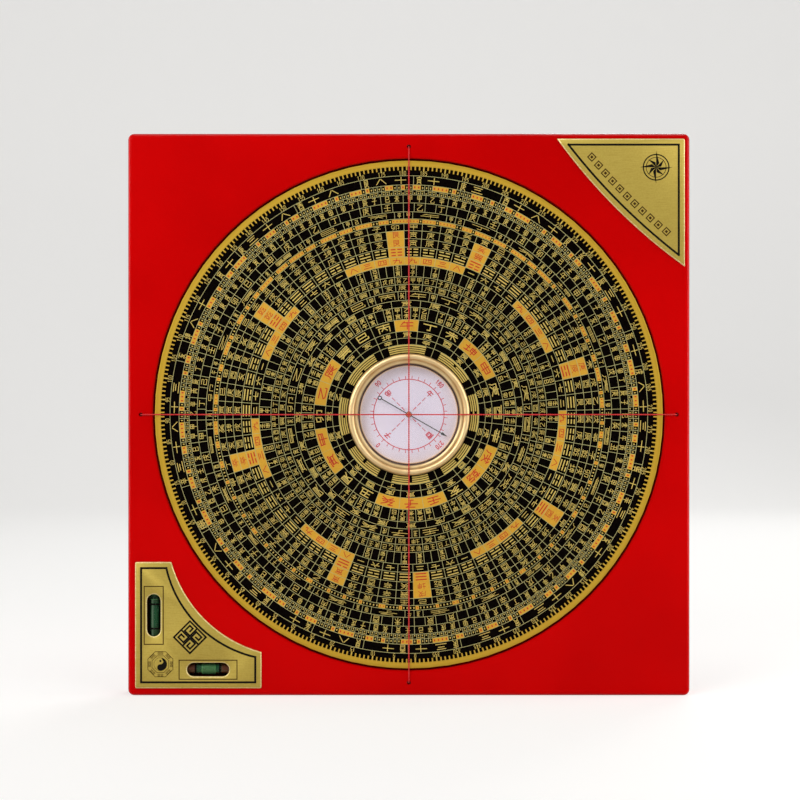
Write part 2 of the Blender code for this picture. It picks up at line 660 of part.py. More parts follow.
def thread_half(side):
    """Points (reach, depth) of half a thread, from its knot to the crossing in the middle."""
    bend_centre = (THREAD_HOLE_REACH - THREAD_BEND_RADIUS, THREAD_OVER_DIAL + THREAD_BEND_RADIUS)
    bezel_crest = BEZEL_RADIUS - BEZEL_WIDTH / 2
    inside = [(THREAD_HOLE_REACH, KNOT_POCKET_TOP)]
    bend = arc(bend_centre, THREAD_BEND_RADIUS, 0, -math.pi / 2, BALL_STEPS)
    over = [(bezel_crest + BEZEL_WIDTH / 4, THREAD_OVER_BEZEL),
            (bezel_crest - BEZEL_WIDTH / 4, THREAD_OVER_BEZEL)]
    crossing = [(THREAD_BEND_RADIUS, THREAD_OVER_BEZEL + side * THREAD_CROSSING)]
    return inside + bend + over + crossing


def thread(name, side, direction):
    """A taut red thread, from a knot behind the board over the bezel to the other knot."""
    half = thread_half(side)
    route = [(-reach, depth) for reach, depth in half] + list(reversed(half))
    curve = bpy.data.curves.new(name, "CURVE")
    curve.dimensions = "3D"
    curve.bevel_depth = THREAD_RADIUS
    curve.bevel_resolution = 2
    curve.use_fill_caps = True
    spline = curve.splines.new("POLY")
    spline.points.add(len(route) - 1)
    for point, (reach, depth) in zip(spline.points, route):
        point.co = (*(direction * reach + Vector((0, depth, 0))), 1)
    curve.materials.append(red_thread())
    made = bpy.data.objects.new(name, curve)
    bpy.context.collection.objects.link(made)
    made.location = FACE_CENTRE
    return made


def thread_knots():
    """A round knot in each pocket, which keeps the thread's end from pulling through."""
    middle = KNOT_TOP + KNOT_RADIUS
    outline = arc((0, middle), KNOT_RADIUS, -math.pi / 2, math.pi / 2, 2 * BALL_STEPS)
    for name, (x, z) in thread_hole_places().items():
        mesh_object(f"thread_knot_{name}", turned(outline, TINY_SIDES), red_thread(),
                    FACE_CENTRE + Vector((x, 0, z)))


def rounded_corner(before, corner, after):
    """Points round one corner of an outline, between the sides to its two neighbours."""
    here = Vector(corner)
    start = here + (Vector(before) - here).normalized() * CORNER_PLATE_ROUNDING
    end = here + (Vector(after) - here).normalized() * CORNER_PLATE_ROUNDING
    shares = [i / CORNER_STEPS for i in range(CORNER_STEPS + 1)]
    return [tuple(start.lerp(here, share).lerp(here.lerp(end, share), share)) for share in shares]


def bowed(start, end, bulge, steps=2 * ARC_STEPS):
    """Points of an arc between two ends that stands off its chord by the bulge, ends left out."""
    chord = Vector(end) - Vector(start)
    side = Vector((-chord.y, chord.x)).normalized()
    radius = (chord.length ** 2 / 4 + bulge ** 2) / (2 * abs(bulge))
    half_angle = math.asin(chord.length / 2 / radius)
    result = []
    for i in range(1, steps):
        angle = half_angle * (2 * i / steps - 1)
        along = 0.5 + math.sin(angle) * radius / chord.length
        rise = radius * (math.cos(angle) - math.cos(half_angle)) * math.copysign(1, bulge)
        result.append(tuple(Vector(start) + chord * along + side * rise))
    return result


def bare_corner_plate():
    """The upper right plate: two straight legs and a long side that bows out towards the dial."""
    corner = BOARD_SIDE / 2 - BARE_PLATE_MARGIN
    start = (corner - BARE_PLATE_LEG, corner)
    end = (corner, corner - BARE_PLATE_LEG)
    outline = [start] + bowed(start, end, -BARE_PLATE_BULGE) + [end]
    outline += rounded_corner(end, (corner, corner), start)
    return mesh_object("corner_plate_upper", prism(outline, CORNER_PLATE_TOP, CORNER_PLATE_BOTTOM),
                       brushed_brass(), FACE_CENTRE)


def vial_plate_outline():
    """A square whose inner corner is hollowed along the dial."""
    low = vial_corner()
    far_x = low.x + VIAL_PLATE_SIDE
    far_z = low.z + VIAL_PLATE_SIDE
    start = (far_x, low.z + VIAL_PLATE_SHORT_SIDE)
    end = (low.x + VIAL_PLATE_SHORT_SIDE, far_z)
    corners = [(low.x, far_z), (low.x, low.z), (far_x, low.z)]
    outline = [start] + bowed(start, end, VIAL_PLATE_HOLLOW) + [end]
    outline += rounded_corner(end, corners[0], corners[1])
    outline += rounded_corner(*corners)
    outline += rounded_corner(corners[1], corners[2], start)
    return outline


def vial_corner_plate():
    """The lower left plate, with a window over each vial."""
    made = mesh_object("corner_plate_lower",
                       prism(vial_plate_outline(), CORNER_PLATE_TOP, CORNER_PLATE_BOTTOM),
                       brushed_brass(), FACE_CENTRE)
    opening = prism(stadium(WINDOW_LENGTH, WINDOW_WIDTH), CORNER_PLATE_TOP - OVERRUN,
                    CORNER_PLATE_BOTTOM + OVERRUN)
    for name, (place, turn) in vial_places().items():
        window = cutter(f"window_{name}", opening, FACE_CENTRE + place)
        window.rotation_euler.y = turn
        cut(made, window)
    return made


def tube_along(inner_radius, outer_radius, start, end, sides):
    """A tube or, with no inner radius, a rod along the first axis."""
    def make(shape):
        if inner_radius > 0:
            outline = [(outer_radius, start), (outer_radius, end), (inner_radius, end),
                       (inner_radius, start)]
        else:
            outline = [(0, start), (outer_radius, start), (outer_radius, end), (0, end)]
        turned(outline, sides)(shape)
        bmesh.ops.rotate(shape, verts=shape.verts, matrix=TO_FIRST_AXIS)
    return make


def bubble_shape():
    """A capsule along the first axis."""
    def make(shape):
        reach = BUBBLE_LENGTH / 2 - BUBBLE_RADIUS
        outline = (arc((0, -reach), BUBBLE_RADIUS, -math.pi / 2, 0, BALL_STEPS)
                   + arc((0, reach), BUBBLE_RADIUS, 0, math.pi / 2, BALL_STEPS))
        turned(outline, TINY_SIDES)(shape)
        bmesh.ops.rotate(shape, verts=shape.verts, matrix=TO_FIRST_AXIS)
    return make


def vial(name, place, turn, bubble_at):
    """A clear tube with its spirit, its bubble and a plug at each end, lying in its slot."""
    middle = axis_empty(f"vial_axis_{name}", FACE_CENTRE + place + Vector((0, VIAL_RADIUS, 0)))
    middle.rotation_euler.y = turn
    half = VIAL_LENGTH / 2
    mesh_object(f"vial_tube_{name}", tube_along(VIAL_BORE, VIAL_RADIUS, -half, half, SMALL_SIDES),
                clear_glass(), (0, 0, 0), middle)
    fluid = mesh_object(f"vial_spirit_{name}",
                        tube_along(0, FILL_RADIUS, -FLUID_LENGTH / 2, FLUID_LENGTH / 2, SMALL_SIDES),
                        green_spirit(), (0, 0, 0), middle)
    channel = tube_along(0, BUBBLE_CHANNEL_RADIUS, -FLUID_LENGTH / 2 - OVERRUN,
                         FLUID_LENGTH / 2 + OVERRUN, TINY_SIDES)
    cut(fluid, cutter(f"bubble_channel_{name}", channel, (0, -BUBBLE_OFFSET, 0), middle))
    mesh_object(f"vial_bubble_{name}", bubble_shape(), clear_glass(), (bubble_at, -BUBBLE_OFFSET, 0), middle)
    for end, side in (("start", -1), ("end", 1)):
        span = sorted((side * PLUG_END, side * (PLUG_END - PLUG_LENGTH)))
        mesh_object(f"vial_plug_{name}_{end}", tube_along(0, FILL_RADIUS, *span, TINY_SIDES),
                    plug_rubber(), (0, 0, 0), middle)


def build():
    clear_scene()
    board()
    bearing_bush()
    back_cover()
    cover_screws()
    dial_axis = axis_empty("dial_axis", FACE_CENTRE)
    dial_plate(dial_axis)
    dial_disc(dial_axis)
    compass_cup(dial_axis)
    compass_bezel(dial_axis)
    lens_ring(dial_axis)
    compass_glass(dial_axis)
    compass_card(dial_axis)
    pivot_pin(dial_axis)
    ring_nut(dial_axis)
    retaining_washer(dial_axis)
    retaining_nut(dial_axis)
    needle_axis = axis_empty("needle_axis", (0, 0, 0), dial_axis)
    needle_axis.rotation_euler.y = NEEDLE_ANGLE
    needle(needle_axis)
    needle_cap(needle_axis)
    thread("thread_upright", -1, Vector((0, 0, 1)))
    thread("thread_level", 1, Vector((1, 0, 0)))
    thread_knots()
    bare_corner_plate()
    vial_corner_plate()
    places = vial_places()
    vial("upright", *places["upright"], BUBBLE_TRAVEL)
    vial("level", *places["level"], 0)


build()
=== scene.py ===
"""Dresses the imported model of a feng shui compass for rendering. Laid out as a Blender add-on."""
import math

import bmesh
import bpy
from bpy.props import FloatProperty, FloatVectorProperty, IntProperty, PointerProperty
from mathutils import Matrix, Vector


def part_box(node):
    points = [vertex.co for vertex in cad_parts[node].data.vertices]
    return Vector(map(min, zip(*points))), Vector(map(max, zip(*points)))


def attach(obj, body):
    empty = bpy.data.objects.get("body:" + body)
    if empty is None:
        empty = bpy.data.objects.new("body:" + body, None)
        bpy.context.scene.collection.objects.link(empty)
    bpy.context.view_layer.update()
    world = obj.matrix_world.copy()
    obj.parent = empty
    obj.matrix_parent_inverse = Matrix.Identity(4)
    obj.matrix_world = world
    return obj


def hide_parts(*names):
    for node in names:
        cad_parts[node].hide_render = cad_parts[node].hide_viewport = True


bl_info = {
    "name": "Feng Shui Compass",
    "version": (1, 0, 0),
    "blender": (4, 5, 0),
    "location": "3D View > Sidebar > Compass",
    "description": "Prints the dial and finishes the compass, threads, plates and vials",
    "category": "Add Mesh",
}

MM = 0.001
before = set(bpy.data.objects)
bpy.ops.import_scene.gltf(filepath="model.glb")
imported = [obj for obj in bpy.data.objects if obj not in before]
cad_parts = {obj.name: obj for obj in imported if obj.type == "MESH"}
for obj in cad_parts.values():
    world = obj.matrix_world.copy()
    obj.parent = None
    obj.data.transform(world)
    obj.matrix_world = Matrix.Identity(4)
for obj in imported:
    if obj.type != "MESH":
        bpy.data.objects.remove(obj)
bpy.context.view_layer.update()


def middle(node):
    low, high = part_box(node)
    return (low + high) / 2


def front_of(node):
    """The middle of a node's front side."""
    place = middle(node)
    place.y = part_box(node)[0].y
    return place


def half_width(node):
    low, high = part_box(node)
    return (high.x - low.x) / 2


DIAL_FACE = front_of("dial_plate")
DIAL_AXIS = Vector((DIAL_FACE.x, 0, DIAL_FACE.z))
CARD_FACE = front_of("compass_card")

# The dial's rings from its rim inwards: name, outer radius and inner radius in millimetres
RINGS = {
    "degrees": (126.1, 121.4),
    "lodges": (121.4, 116.8),
    "outer_dots": (116.8, 114.2),
    "middle_dots": (114.2, 111.7),
    "pairs": (111.7, 107.6),
    "sparse": (107.6, 103.1),
    "wide_outer": (103.1, 99.5),
    "inner_dots": (99.5, 97.1),
    "column_top": (97.1, 93.5),
    "column_upper": (93.5, 89.4),
    "column_lower": (89.4, 85.1),
    "figures": (85.1, 80.2),
    "numerals": (80.2, 76.1),
    "tall": (76.1, 70.2),
    "dense_outer": (70.1, 66.2),
    "dense_inner": (66.2, 62.7),
    "wide_inner": (62.7, 58.1),
    "narrow": (58.1, 54.6),
    "stacked": (54.6, 48.3),
    "mountains": (48.3, 42.4),
    "upper_names": (42.4, 38.9),
    "lower_names": (38.9, 35.6),
    "trigrams": (35.6, 31.2),
}

# Evenly divided rings: ring, number of cells and the nominal angle of one divider in degrees
DIVIDED = (
    ("middle_dots", 360, 0.5),
    ("pairs", 60, 0.0),
    ("sparse", 120, 0.0),
    ("wide_outer", 24, 0.0),
    ("wide_outer", 24, 2.6),
    ("wide_outer", 24, 12.4),
    ("column_top", 64, 0.0),
    ("column_upper", 64, 0.0),
    ("column_lower", 64, 0.0),
    ("figures", 64, 0.0),
    ("numerals", 64, 0.0),
    ("tall", 120, 1.5),
    ("dense_outer", 60, 1.5),
    ("dense_inner", 60, 1.5),
    ("wide_inner", 24, 0.0),
    ("wide_inner", 24, 11.4),
    ("narrow", 24, 7.5),
    ("stacked", 72, 2.5),
    ("mountains", 24, 7.5),
    ("upper_names", 24, 7.5),
    ("lower_names", 24, 7.5),
    ("trigrams", 8, 22.5),
)

# Widths in degrees of the 28 unequal cells of one ring, and where the first of them starts
LODGES = (11, 11, 18, 5, 8, 15, 9, 24, 8, 11, 10, 20, 16, 13, 11, 13, 12, 9, 15, 1, 11, 31, 5, 17,
          8, 18, 17, 13)
LODGES_START = 2.65

# Signs as strokes on a grid of nine by nine: each stroke is a chain of (across, up) digits
NUMERALS = ("1585", "2787 1292", "1888 2575 0191", "0898910108 383523 686484",
            "1989 4831 157571 0191", "4958 0696 3411 6481", "0596 494282", "4811 5891",
            "0676719193 494611", "0595 5950")
STEMS = ("1999941419 1696 5950", "188812209092", "0999 10169690 595632 5572", "0898 585131",
         "1797 272300 596390 8531 7988", "18888515 15119193",
         "5958 1898 181300 36868434 5754 5420 5390", "5958 1898 3736 7776 0595 1393 5550",
         "8928 0595 1191 5851", "194915 9956 2585 0393 555310 5390")
BRANCHES = ("298956 565030 0595", "298981 5941 2585 0191",
            "17189897 5958 2686 2585822225 5652 3210 7290", "49181344 474220 68989282 6860",
            "1999 191300 3787 2595 353152 5490 8463", "19898515 19119193",
            "3916 2898 0494 5850", "2888 0696 5950 5611 5691", "1898921218 1595 5950",
            "0999 1797901017 494624 696585 1292", "171300 1797 3454 596390 8540 7988",
            "5958 0898 582565 6511 8530 6390")
CORNERS = ("0848 2927 1646431316 0151 2320 6956 6898 659561609092",
           "0636 2921 0142 5898935358 5696 7970", "29898525 2787 292052 4590 8453",
           "094947070545 599997575595 1494 3532 7572 0292 3210 7290")
DIGITS = ("396987826030121739", "375950", "17396987861080", "19894575836012", "60691383",
          "8929156684826010", "79371412306082846514", "198940",
          "39698765351739 3513123060828365", "20628587693917153485")

# The 24 directions clockwise from the top; every sixth is also on the card
DIRECTIONS = (BRANCHES[6], STEMS[3], BRANCHES[7], CORNERS[1], BRANCHES[8], STEMS[6], BRANCHES[9],
              STEMS[7], BRANCHES[10], CORNERS[0], BRANCHES[11], STEMS[8], BRANCHES[0], STEMS[9],
              BRANCHES[1], CORNERS[2], BRANCHES[2], STEMS[0], BRANCHES[3], STEMS[1], BRANCHES[4],
              CORNERS[3], BRANCHES[5], STEMS[2])

# What is gold: the twelve directions of one traditional half, the columns of the eight doubled
# trigrams, and every other group of four numerals, mirrored about the upright
GOLD_DIRECTIONS = (0, 3, 4, 8, 9, 11, 12, 13, 16, 17, 19, 20)
GOLD_COLUMNS = (*range(4, 32, 9), *range(36, 64, 9))
GOLD_NUMERALS = (*range(0, 8, 2), *range(9, 16, 2))

# Signs that fill the rings whose texts are too small to read in the photograph
CYCLE = STEMS + BRANCHES
BUSY = (BRANCHES[2], STEMS[6], BRANCHES[9], CORNERS[2], STEMS[9], BRANCHES[4], CORNERS[0],
        BRANCHES[10], CORNERS[3], STEMS[7], BRANCHES[11], CORNERS[1])

# Trigrams clockwise from the top: their lines from the outermost inwards, 1 whole and 0 broken
TRIGRAMS = ("111", "011", "010", "001", "000", "100", "101", "110")

# In the dotted rings, runs of gold and of plain cells take turns: the lengths of both
OUTER_RUNS = ((1, 2, 4, 1, 3), (2, 3, 1, 4))
UPPER_RUNS = ((5, 4, 5, 3), (1, 1, 2))
LOWER_RUNS = ((1, 1, 2, 1), (4, 5, 4))

# The dial's inks: name of the material, how many times the rise, metallic and roughness
DIAL_INKS = {
    "gold": ("cell_gold", 1.0, 0.2, 0.4),
    "rim": ("rim_gold", 1.0, 0.4, 0.36),
    "pale": ("pale_gold", 1.5, 0.25, 0.36),
    "bright": ("bright_gold", 2.0, 0.25, 0.36),
    "red": ("red_ink", 2.5, 0.0, 0.5),
}

# How far the print on the card and on the corner plates stands off
FLAT_RISE = 0.02 * MM

# Lamps: name, place and size in metres, and power in watts
LAMPS = (
    ("key_lamp", (-0.85, -1.35, 0.95), (0.8, 0.8), 13.8),
    ("fill_lamp", (1.0, -1.3, 0.8), (0.8, 0.8), 4.5),
    ("left_strip", (-0.95, -0.15, 0.35), (0.4, 0.8), 3.0),
    ("right_strip", (0.9, -0.05, 0.35), (0.7, 0.8), 6.0),
    ("top_lamp", (0.0, -0.35, 1.3), (0.9, 0.4), 2.6),
    ("back_lamp", (0.5, 1.35, 1.1), (0.8, 0.8), 11.0),
)


def on_screen(red, green, blue):
    """A colour as the renderer takes it, from the 0 to 255 values that it shows on a screen."""
    shares = (red / 255, green / 255, blue / 255)
    return tuple(s / 12.92 if s <= 0.04045 else ((s + 0.055) / 1.055) ** 2.4 for s in shares)


def scaled(base, share):
    """A colour made darker or lighter by a factor."""
    return [c * share for c in base]


def length(label, about, default):
    return FloatProperty(name=label, description=about, default=default, min=0.0,
                         subtype="DISTANCE", unit="LENGTH", precision=5)


def colour(label, about, default):
    return FloatVectorProperty(name=label, description=about, default=default, size=3,
                               min=0.0, max=1.0, subtype="COLOR")


def angle(label, about, default):
    return FloatProperty(name=label, description=about, default=default, subtype="ANGLE")


class DialSettings(bpy.types.PropertyGroup):
    """The dial's print."""
    print_turn: angle("Print turn", "How far the print lies turned anticlockwise",
                      math.radians(1.5))
    print_depth: length("Print depth", "Thickness of the printed marks", 0.12 * MM)
    print_rise: length("Print rise", "How far the marks stand off the plate", 0.03 * MM)
    line: length("Line width", "Width of the lines between cells", 0.25 * MM)
    weight: length("Stroke width", "Width of the strokes of the small signs", 0.3 * MM)
    black: colour("Black", "The plate's printed ground", on_screen(5, 2, 1))
    rim: colour("Rim", "The bare gold rim", on_screen(212, 170, 56))
    pale: colour("Pale gold", "Lines between cells", on_screen(186, 180, 122))
    bright: colour("Bright gold", "Signs on black", on_screen(216, 190, 98))
    gold: colour("Gold", "Filled cells", on_screen(222, 168, 44))
    red: colour("Red", "Signs on filled cells", on_screen(200, 52, 20))


class BoardSettings(bpy.types.PropertyGroup):
    """The lacquered board and what lies behind it."""
    lacquer: colour("Lacquer", "The board's red", on_screen(200, 3, 4))
    lacquer_shade: colour("Lacquer shade", "The red where it lies thicker", on_screen(186, 2, 3))
    wood: colour("Wood", "The disc under the dial", on_screen(150, 105, 66))
    nylon: colour("Nylon", "The bearing bush", on_screen(226, 222, 208))
    screw_slot: length("Screw slot", "Width of the screws' slots", 0.45 * MM)


class CompassSettings(bpy.types.PropertyGroup):
    """The compass in the middle."""
    sides: IntProperty(name="Sides", description="Roundness of the turned rings", default=128,
                       min=24)
    brass: colour("Brass", "The bezel and lens ring", on_screen(255, 224, 164))
    brass_shade: colour("Brass shade", "Brass in its turning lines", on_screen(238, 196, 130))
    # Painted shade: the brown laid into the bezel's groove and round its outer edge
    brass_brown: colour("Brown brass", "Brass in the groove between the rings",
                        on_screen(140, 84, 34))
    # Painted shade on the lens ring's lip next to the glass
    patina: colour("Patina", "The browned lip next to the glass", on_screen(58, 24, 10))
    card: colour("Card", "The compass card", on_screen(240, 231, 249))
    card_red: colour("Card red", "The card's print", on_screen(222, 36, 70))
    needle: colour("Needle", "Blued steel", on_screen(20, 24, 30))
    cap: colour("Cap", "The needle's cap", on_screen(222, 112, 40))
    steel: colour("Steel", "Plated steel", on_screen(188, 190, 194))
    crown: length("Crown", "Width of the bezel's rounded crown", 3.4 * MM)
    slope: length("Slope", "Width of the slope down to the glass", 1.95 * MM)
    # The seal is painted shade: a dark ring that stands for the shadow line round the glass
    seal: length("Seal", "Thickness of the seal between the slope and the glass", 0.5 * MM)
    seal_colour: colour("Seal colour", "The seal's rubber", on_screen(52, 12, 8))
    # Width of the painted shade on the lens ring's lip
    lip: length("Lip", "Width of the lens ring's browned lip", 0.5 * MM)
    circle: length("Card circle", "Radius of the card's printed circle", 18.0 * MM)


class ThreadSettings(bpy.types.PropertyGroup):
    """The crossed threads."""
    radius: length("Radius", "The thread's nominal radius; its plies wind at half of it",
                   0.3 * MM)
    ply: length("Ply", "Radius of each of its two plies", 0.22 * MM)
    clearance: length("Clearance", "Gap to what the thread passes over", 0.3 * MM)
    bend: length("Bend", "Radius of the bend at each hole", 1.5 * MM)
    pitch: length("Pitch", "Length of one turn of the twist", 2.2 * MM)
    red: colour("Red", "The thread's colour", on_screen(220, 20, 24))
    red_shade: colour("Red shade", "The thread between its fibres", on_screen(154, 8, 14))


class PlateSettings(bpy.types.PropertyGroup):
    """The two corner plates."""
    brass: colour("Brass", "Brushed brass", on_screen(200, 176, 82))
    brass_shade: colour("Brass shade", "The brushing's darker streaks", on_screen(186, 160, 68))
    # Polished brass on the plates' bevel, lightened further as a painted highlight
    brass_edge: colour("Brass edge", "The polished strip round a plate", on_screen(252, 234, 178))
    black: colour("Black", "Ink in the engraving", on_screen(14, 10, 6))
    brown: colour("Brown", "Thin brown lines", on_screen(70, 48, 12))
    edge: length("Edge", "Width of the bevel round a plate", 0.55 * MM)
    inset: length("Border inset", "From a plate's edge to its border line", 3.1 * MM)
    tip: length("Border tip", "From the upper plate's sharp tips to its border's", 5.9 * MM)
    border: length("Border width", "Width of the border line", 1.05 * MM)
    hollow: length("Hollow", "Depth of the lower border's hollowed side", 9.2 * MM)
    bulge: length("Bulge", "Height of the upper border's bowed side", 2.5 * MM)
    short_side: length("Short side", "Short sides of the lower plate", 18.4 * MM)


class VialSettings(bpy.types.PropertyGroup):
    """The spirit vials."""
    wall: length("Wall", "Thickness of the tube", 0.9 * MM)
    liquid: length("Liquid", "Radius of the column of liquid", 3.1 * MM)
    bubble_radius: length("Bubble radius", "Radius of a bubble", 3.3 * MM)
    bubble_end: length("Bubble end", "Radius of the rounding at a bubble's ends", 1.2 * MM)
    mark: length("Mark", "From the middle of a vial to its marks", 6.2 * MM)
    mark_width: length("Mark width", "Width of a mark", 0.9 * MM)
    bubble_upright_length: length("Upright bubble length",
                                  "Height of the bubble that fills the upright tube's bore",
                                  3.4 * MM)
    spirit: colour("Spirit", "The green liquid", on_screen(38, 88, 54))
    spirit_light: colour("Spirit light", "The light that the liquid gathers",
                         on_screen(112, 140, 112))
    # Painted shade: the dark at the sides of the upright liquid and of both tubes
    spirit_shade: colour("Spirit shade", "The liquid where it is deep", on_screen(14, 16, 10))
    # Painted reflection: the red board's reflection in the liquid towards the plugs
    spirit_brown: colour("Spirit brown", "The liquid by the plugs", on_screen(104, 58, 36))
    bubble: colour("Bubble", "The light at a bubble's ends", on_screen(134, 228, 134))
    bubble_level: colour("Level bubble", "The middle of the level bubble", on_screen(74, 118, 74))
    bubble_upright: colour("Upright bubble", "The middle of the upright bubble",
                           on_screen(16, 26, 24))
    rubber: colour("Rubber", "The end plugs", on_screen(34, 38, 32))


class StageSettings(bpy.types.PropertyGroup):
    """Floor, lamps and camera."""
    floor: colour("Floor", "Floor and backdrop", on_screen(243, 242, 240))
    view: length("View", "Width of the picture at the board's face", 406.8 * MM)
    lens: FloatProperty(name="Lens", description="Focal length in millimetres", default=85.0,
                        min=10.0)
    aim_x: FloatProperty(name="Aim across", description="Picture's middle from the board's",
                         default=-4.5 * MM, subtype="DISTANCE", unit="LENGTH", precision=5)
    aim_z: FloatProperty(name="Aim up", description="Picture's middle above the board's",
                         default=7.4 * MM, subtype="DISTANCE", unit="LENGTH", precision=5)


SETTINGS = {
    "luopan_dial": DialSettings,
    "luopan_board": BoardSettings,
    "luopan_compass": CompassSettings,
    "luopan_thread": ThreadSettings,
    "luopan_plate": PlateSettings,
    "luopan_vial": VialSettings,
    "luopan_stage": StageSettings,
}


class Socket:
    """An output socket, with arithmetic that adds Math nodes."""

    def __init__(self, finish, output):
        self.finish = finish
        self.output = output

    def math(self, operation, *values):
        return self.finish.node("ShaderNodeMath", {"operation": operation},
                                dict(enumerate(values)))

    def __add__(self, other):
        return self.math("ADD", self, other)

    def __sub__(self, other):
        return self.math("SUBTRACT", self, other)

    def __rsub__(self, other):
        return self.math("SUBTRACT", other, self)

    def __mul__(self, other):
        return self.math("MULTIPLY", self, other)

    def __pow__(self, other):
        return self.math("POWER", self, other)

    __radd__ = __add__
    __rmul__ = __mul__


class Tree:
    """A node tree as it is put together, with one way to add a node."""

    def __init__(self, tree):
        self.tree = tree

    def seen(self, shares=(1.0, 1.0, 1.0)):
        """How much the camera, metal and glass see of a surface, and 0 where light falls."""
        return sum(self.node("ShaderNodeLightPath", {}, {}, f"Is {kind} Ray") * share
                   for kind, share in zip(("Camera", "Glossy", "Transmission"), shares))

    def node(self, kind, settings, values, output=0):
        made = self.tree.nodes.new(kind)
        for label, value in settings.items():
            setattr(made, label, value)
        for key, value in values.items():
            if isinstance(value, Socket):
                self.tree.links.new(value.output, made.inputs[key])
            else:
                made.inputs[key].default_value = value
        return Socket(self, made.outputs[output])


class Finish(Tree):
    """A material: constants on its shader, and what its nodes feed."""

    def __init__(self, name, **constants):
        self.material = bpy.data.materials.new(name)
        self.material.use_nodes = True
        super().__init__(self.material.node_tree)
        self.surface = self.tree.nodes["Principled BSDF"]
        for label, value in constants.items():
            label = label.replace("_", " ").title().replace("Ior", "IOR")
            self.surface.inputs[label].default_value = value

    def feed(self, label, value):
        self.tree.links.new(value.output, self.surface.inputs[label])

    def place(self, centre=(0, 0, 0), stretch=(1, 1, 1)):
        """Object coordinates about a centre, stretched along each axis."""
        found = self.node("ShaderNodeTexCoord", {}, {}, "Object")
        offset = [-c * s for c, s in zip(centre, stretch)]
        return self.node("ShaderNodeMapping", {}, {"Vector": found, "Location": offset,
                                                   "Scale": stretch})

    def axes(self, place):
        """The three numbers of a place."""
        split = self.node("ShaderNodeSeparateXYZ", {}, {0: place}).output.node
        return [Socket(self, output) for output in split.outputs]

    def radius(self, centre):
        """Distance from the axis that runs through a centre along the depth."""
        x, _, z = self.axes(self.place(centre))
        return (x * x + z * z) ** 0.5

    def noise(self, place, scale, detail=3.0, roughness=0.5):
        return self.node("ShaderNodeTexNoise", {}, {"Vector": place, "Scale": scale,
                                                    "Detail": detail, "Roughness": roughness})

    def step(self, value, low, high):
        """0 below low, 1 above high and a smooth change between."""
        return self.node("ShaderNodeMapRange", {"interpolation_type": "SMOOTHSTEP"},
                         {"Value": value, "From Min": low, "From Max": high})

    def between(self, value, rise, fall):
        """1 between two ranges of a value: it changes smoothly from and to 0 within them."""
        return self.step(value, *rise) * (1.0 - self.step(value, *fall))

    def blend(self, share, low, high):
        """A colour between two colours."""
        def rgba(value):
            return value if isinstance(value, Socket) else (*value, 1)
        return self.node("ShaderNodeMix", {"data_type": "RGBA"},
                         {0: share, 6: rgba(low), 7: rgba(high)}, 2)

    def tint(self, share, low, high, base, shade):
        """Feeds the base colour: one colour where a share is low and another where it is high."""
        self.feed("Base Color", self.blend(self.step(share, low, high), base, shade))

    def turning(self, scale, detail, *places):
        """Noise that changes only with the numbers given, such as the distance from an axis."""
        parts = {i: place * scale for i, place in enumerate(places)}
        return self.noise(self.node("ShaderNodeCombineXYZ", {}, parts), 1.0, detail)

    def smear(self):
        """Gloss that is a touch greasy in patches."""
        self.feed("Roughness", self.noise(self.place(), 90.0, 2.0) * 0.05 + 0.02)

    def bump(self, height, strength, distance):
        self.feed("Normal", self.node("ShaderNodeBump", {}, {"Height": height,
                                                            "Strength": strength,
                                                            "Distance": distance}))


def red_lacquer(board):
    """Rubbed lacquer with a faint ripple. The rounding round the face keeps its full gloss."""
    finish = Finish("red_lacquer", specular_ior_level=0.02, coat_roughness=0.16)
    behind = finish.axes(finish.place(front_of("board")))[1]
    rounding = finish.step(behind, 0.15 * MM, 1.0 * MM)
    sides = finish.step(behind, 3.0 * MM, 5.0 * MM)
    finish.feed("Coat Weight", rounding * (1.0 - sides * 0.85))
    place = finish.place()
    finish.tint(finish.noise(place, 9.0), 0.35, 0.65, board.lacquer, board.lacquer_shade)
    finish.feed("Roughness", finish.noise(place, 60.0, 4.0) * 0.12 + 0.14)
    finish.bump(finish.noise(place, 420.0, 1.0), 0.08, 0.1 * MM)
    return finish.material


def dial_ground(dial):
    """Black print on a brass plate whose rim stays bare, with fine turning lines."""
    finish = Finish("dial_ground", specular_ior_level=0.03)
    radius = finish.radius(DIAL_FACE)
    ring_edge, blur = RINGS["degrees"][0] * MM, 0.05 * MM
    bare = finish.step(radius, ring_edge - blur, ring_edge + blur)
    turning = finish.turning(900.0, 3.0, radius)
    speck = finish.noise(finish.place(), 700.0, 4.0)
    rim = finish.blend(finish.step(turning, 0.3, 0.7), dial.rim, scaled(dial.rim, 0.82))
    ground = finish.blend(finish.step(speck, 0.45, 0.8), dial.black, scaled(dial.black, 1.5))
    finish.feed("Base Color", finish.blend(bare, ground, rim))
    finish.feed("Metallic", bare * 0.45)
    finish.feed("Roughness", speck * 0.1 + bare * 0.12 + turning * 0.06 + 0.2)
    finish.bump(turning * bare + speck * 0.3, 0.15, 0.05 * MM)
    return finish.material


def dial_ink(name, base, metallic, roughness):
    """A printed or bare mark: its colour drifts a little over the dial and is finely speckled."""
    finish = Finish(name, metallic=metallic, specular_ior_level=0.35)
    place = finish.place()
    drift = finish.noise(place, 14.0, 2.0)
    speck = finish.noise(place, 1600.0, 2.0)
    finish.tint(drift * 0.7 + speck * 0.3, 0.35, 0.65, base, scaled(base, 0.82))
    finish.feed("Roughness", speck * 0.15 + roughness)
    return finish.material


def cup_brass(compass):
    """Brass from a lathe, with fine rings about the depth axis."""
    finish = Finish("cup_brass", metallic=0.8, coat_weight=0.5, coat_roughness=0.42)
    radius = finish.radius(DIAL_FACE)
    _, depth, _ = finish.axes(finish.place(DIAL_FACE))
    lines = finish.turning(2600.0, 2.0, radius, depth)
    cloud = finish.noise(finish.place(), 120.0)
    finish.tint(lines * 0.3 + cloud * 0.7, 0.3, 0.75, compass.brass, compass.brass_shade)
    finish.feed("Roughness", lines * 0.08 + 0.3)
    return finish.material


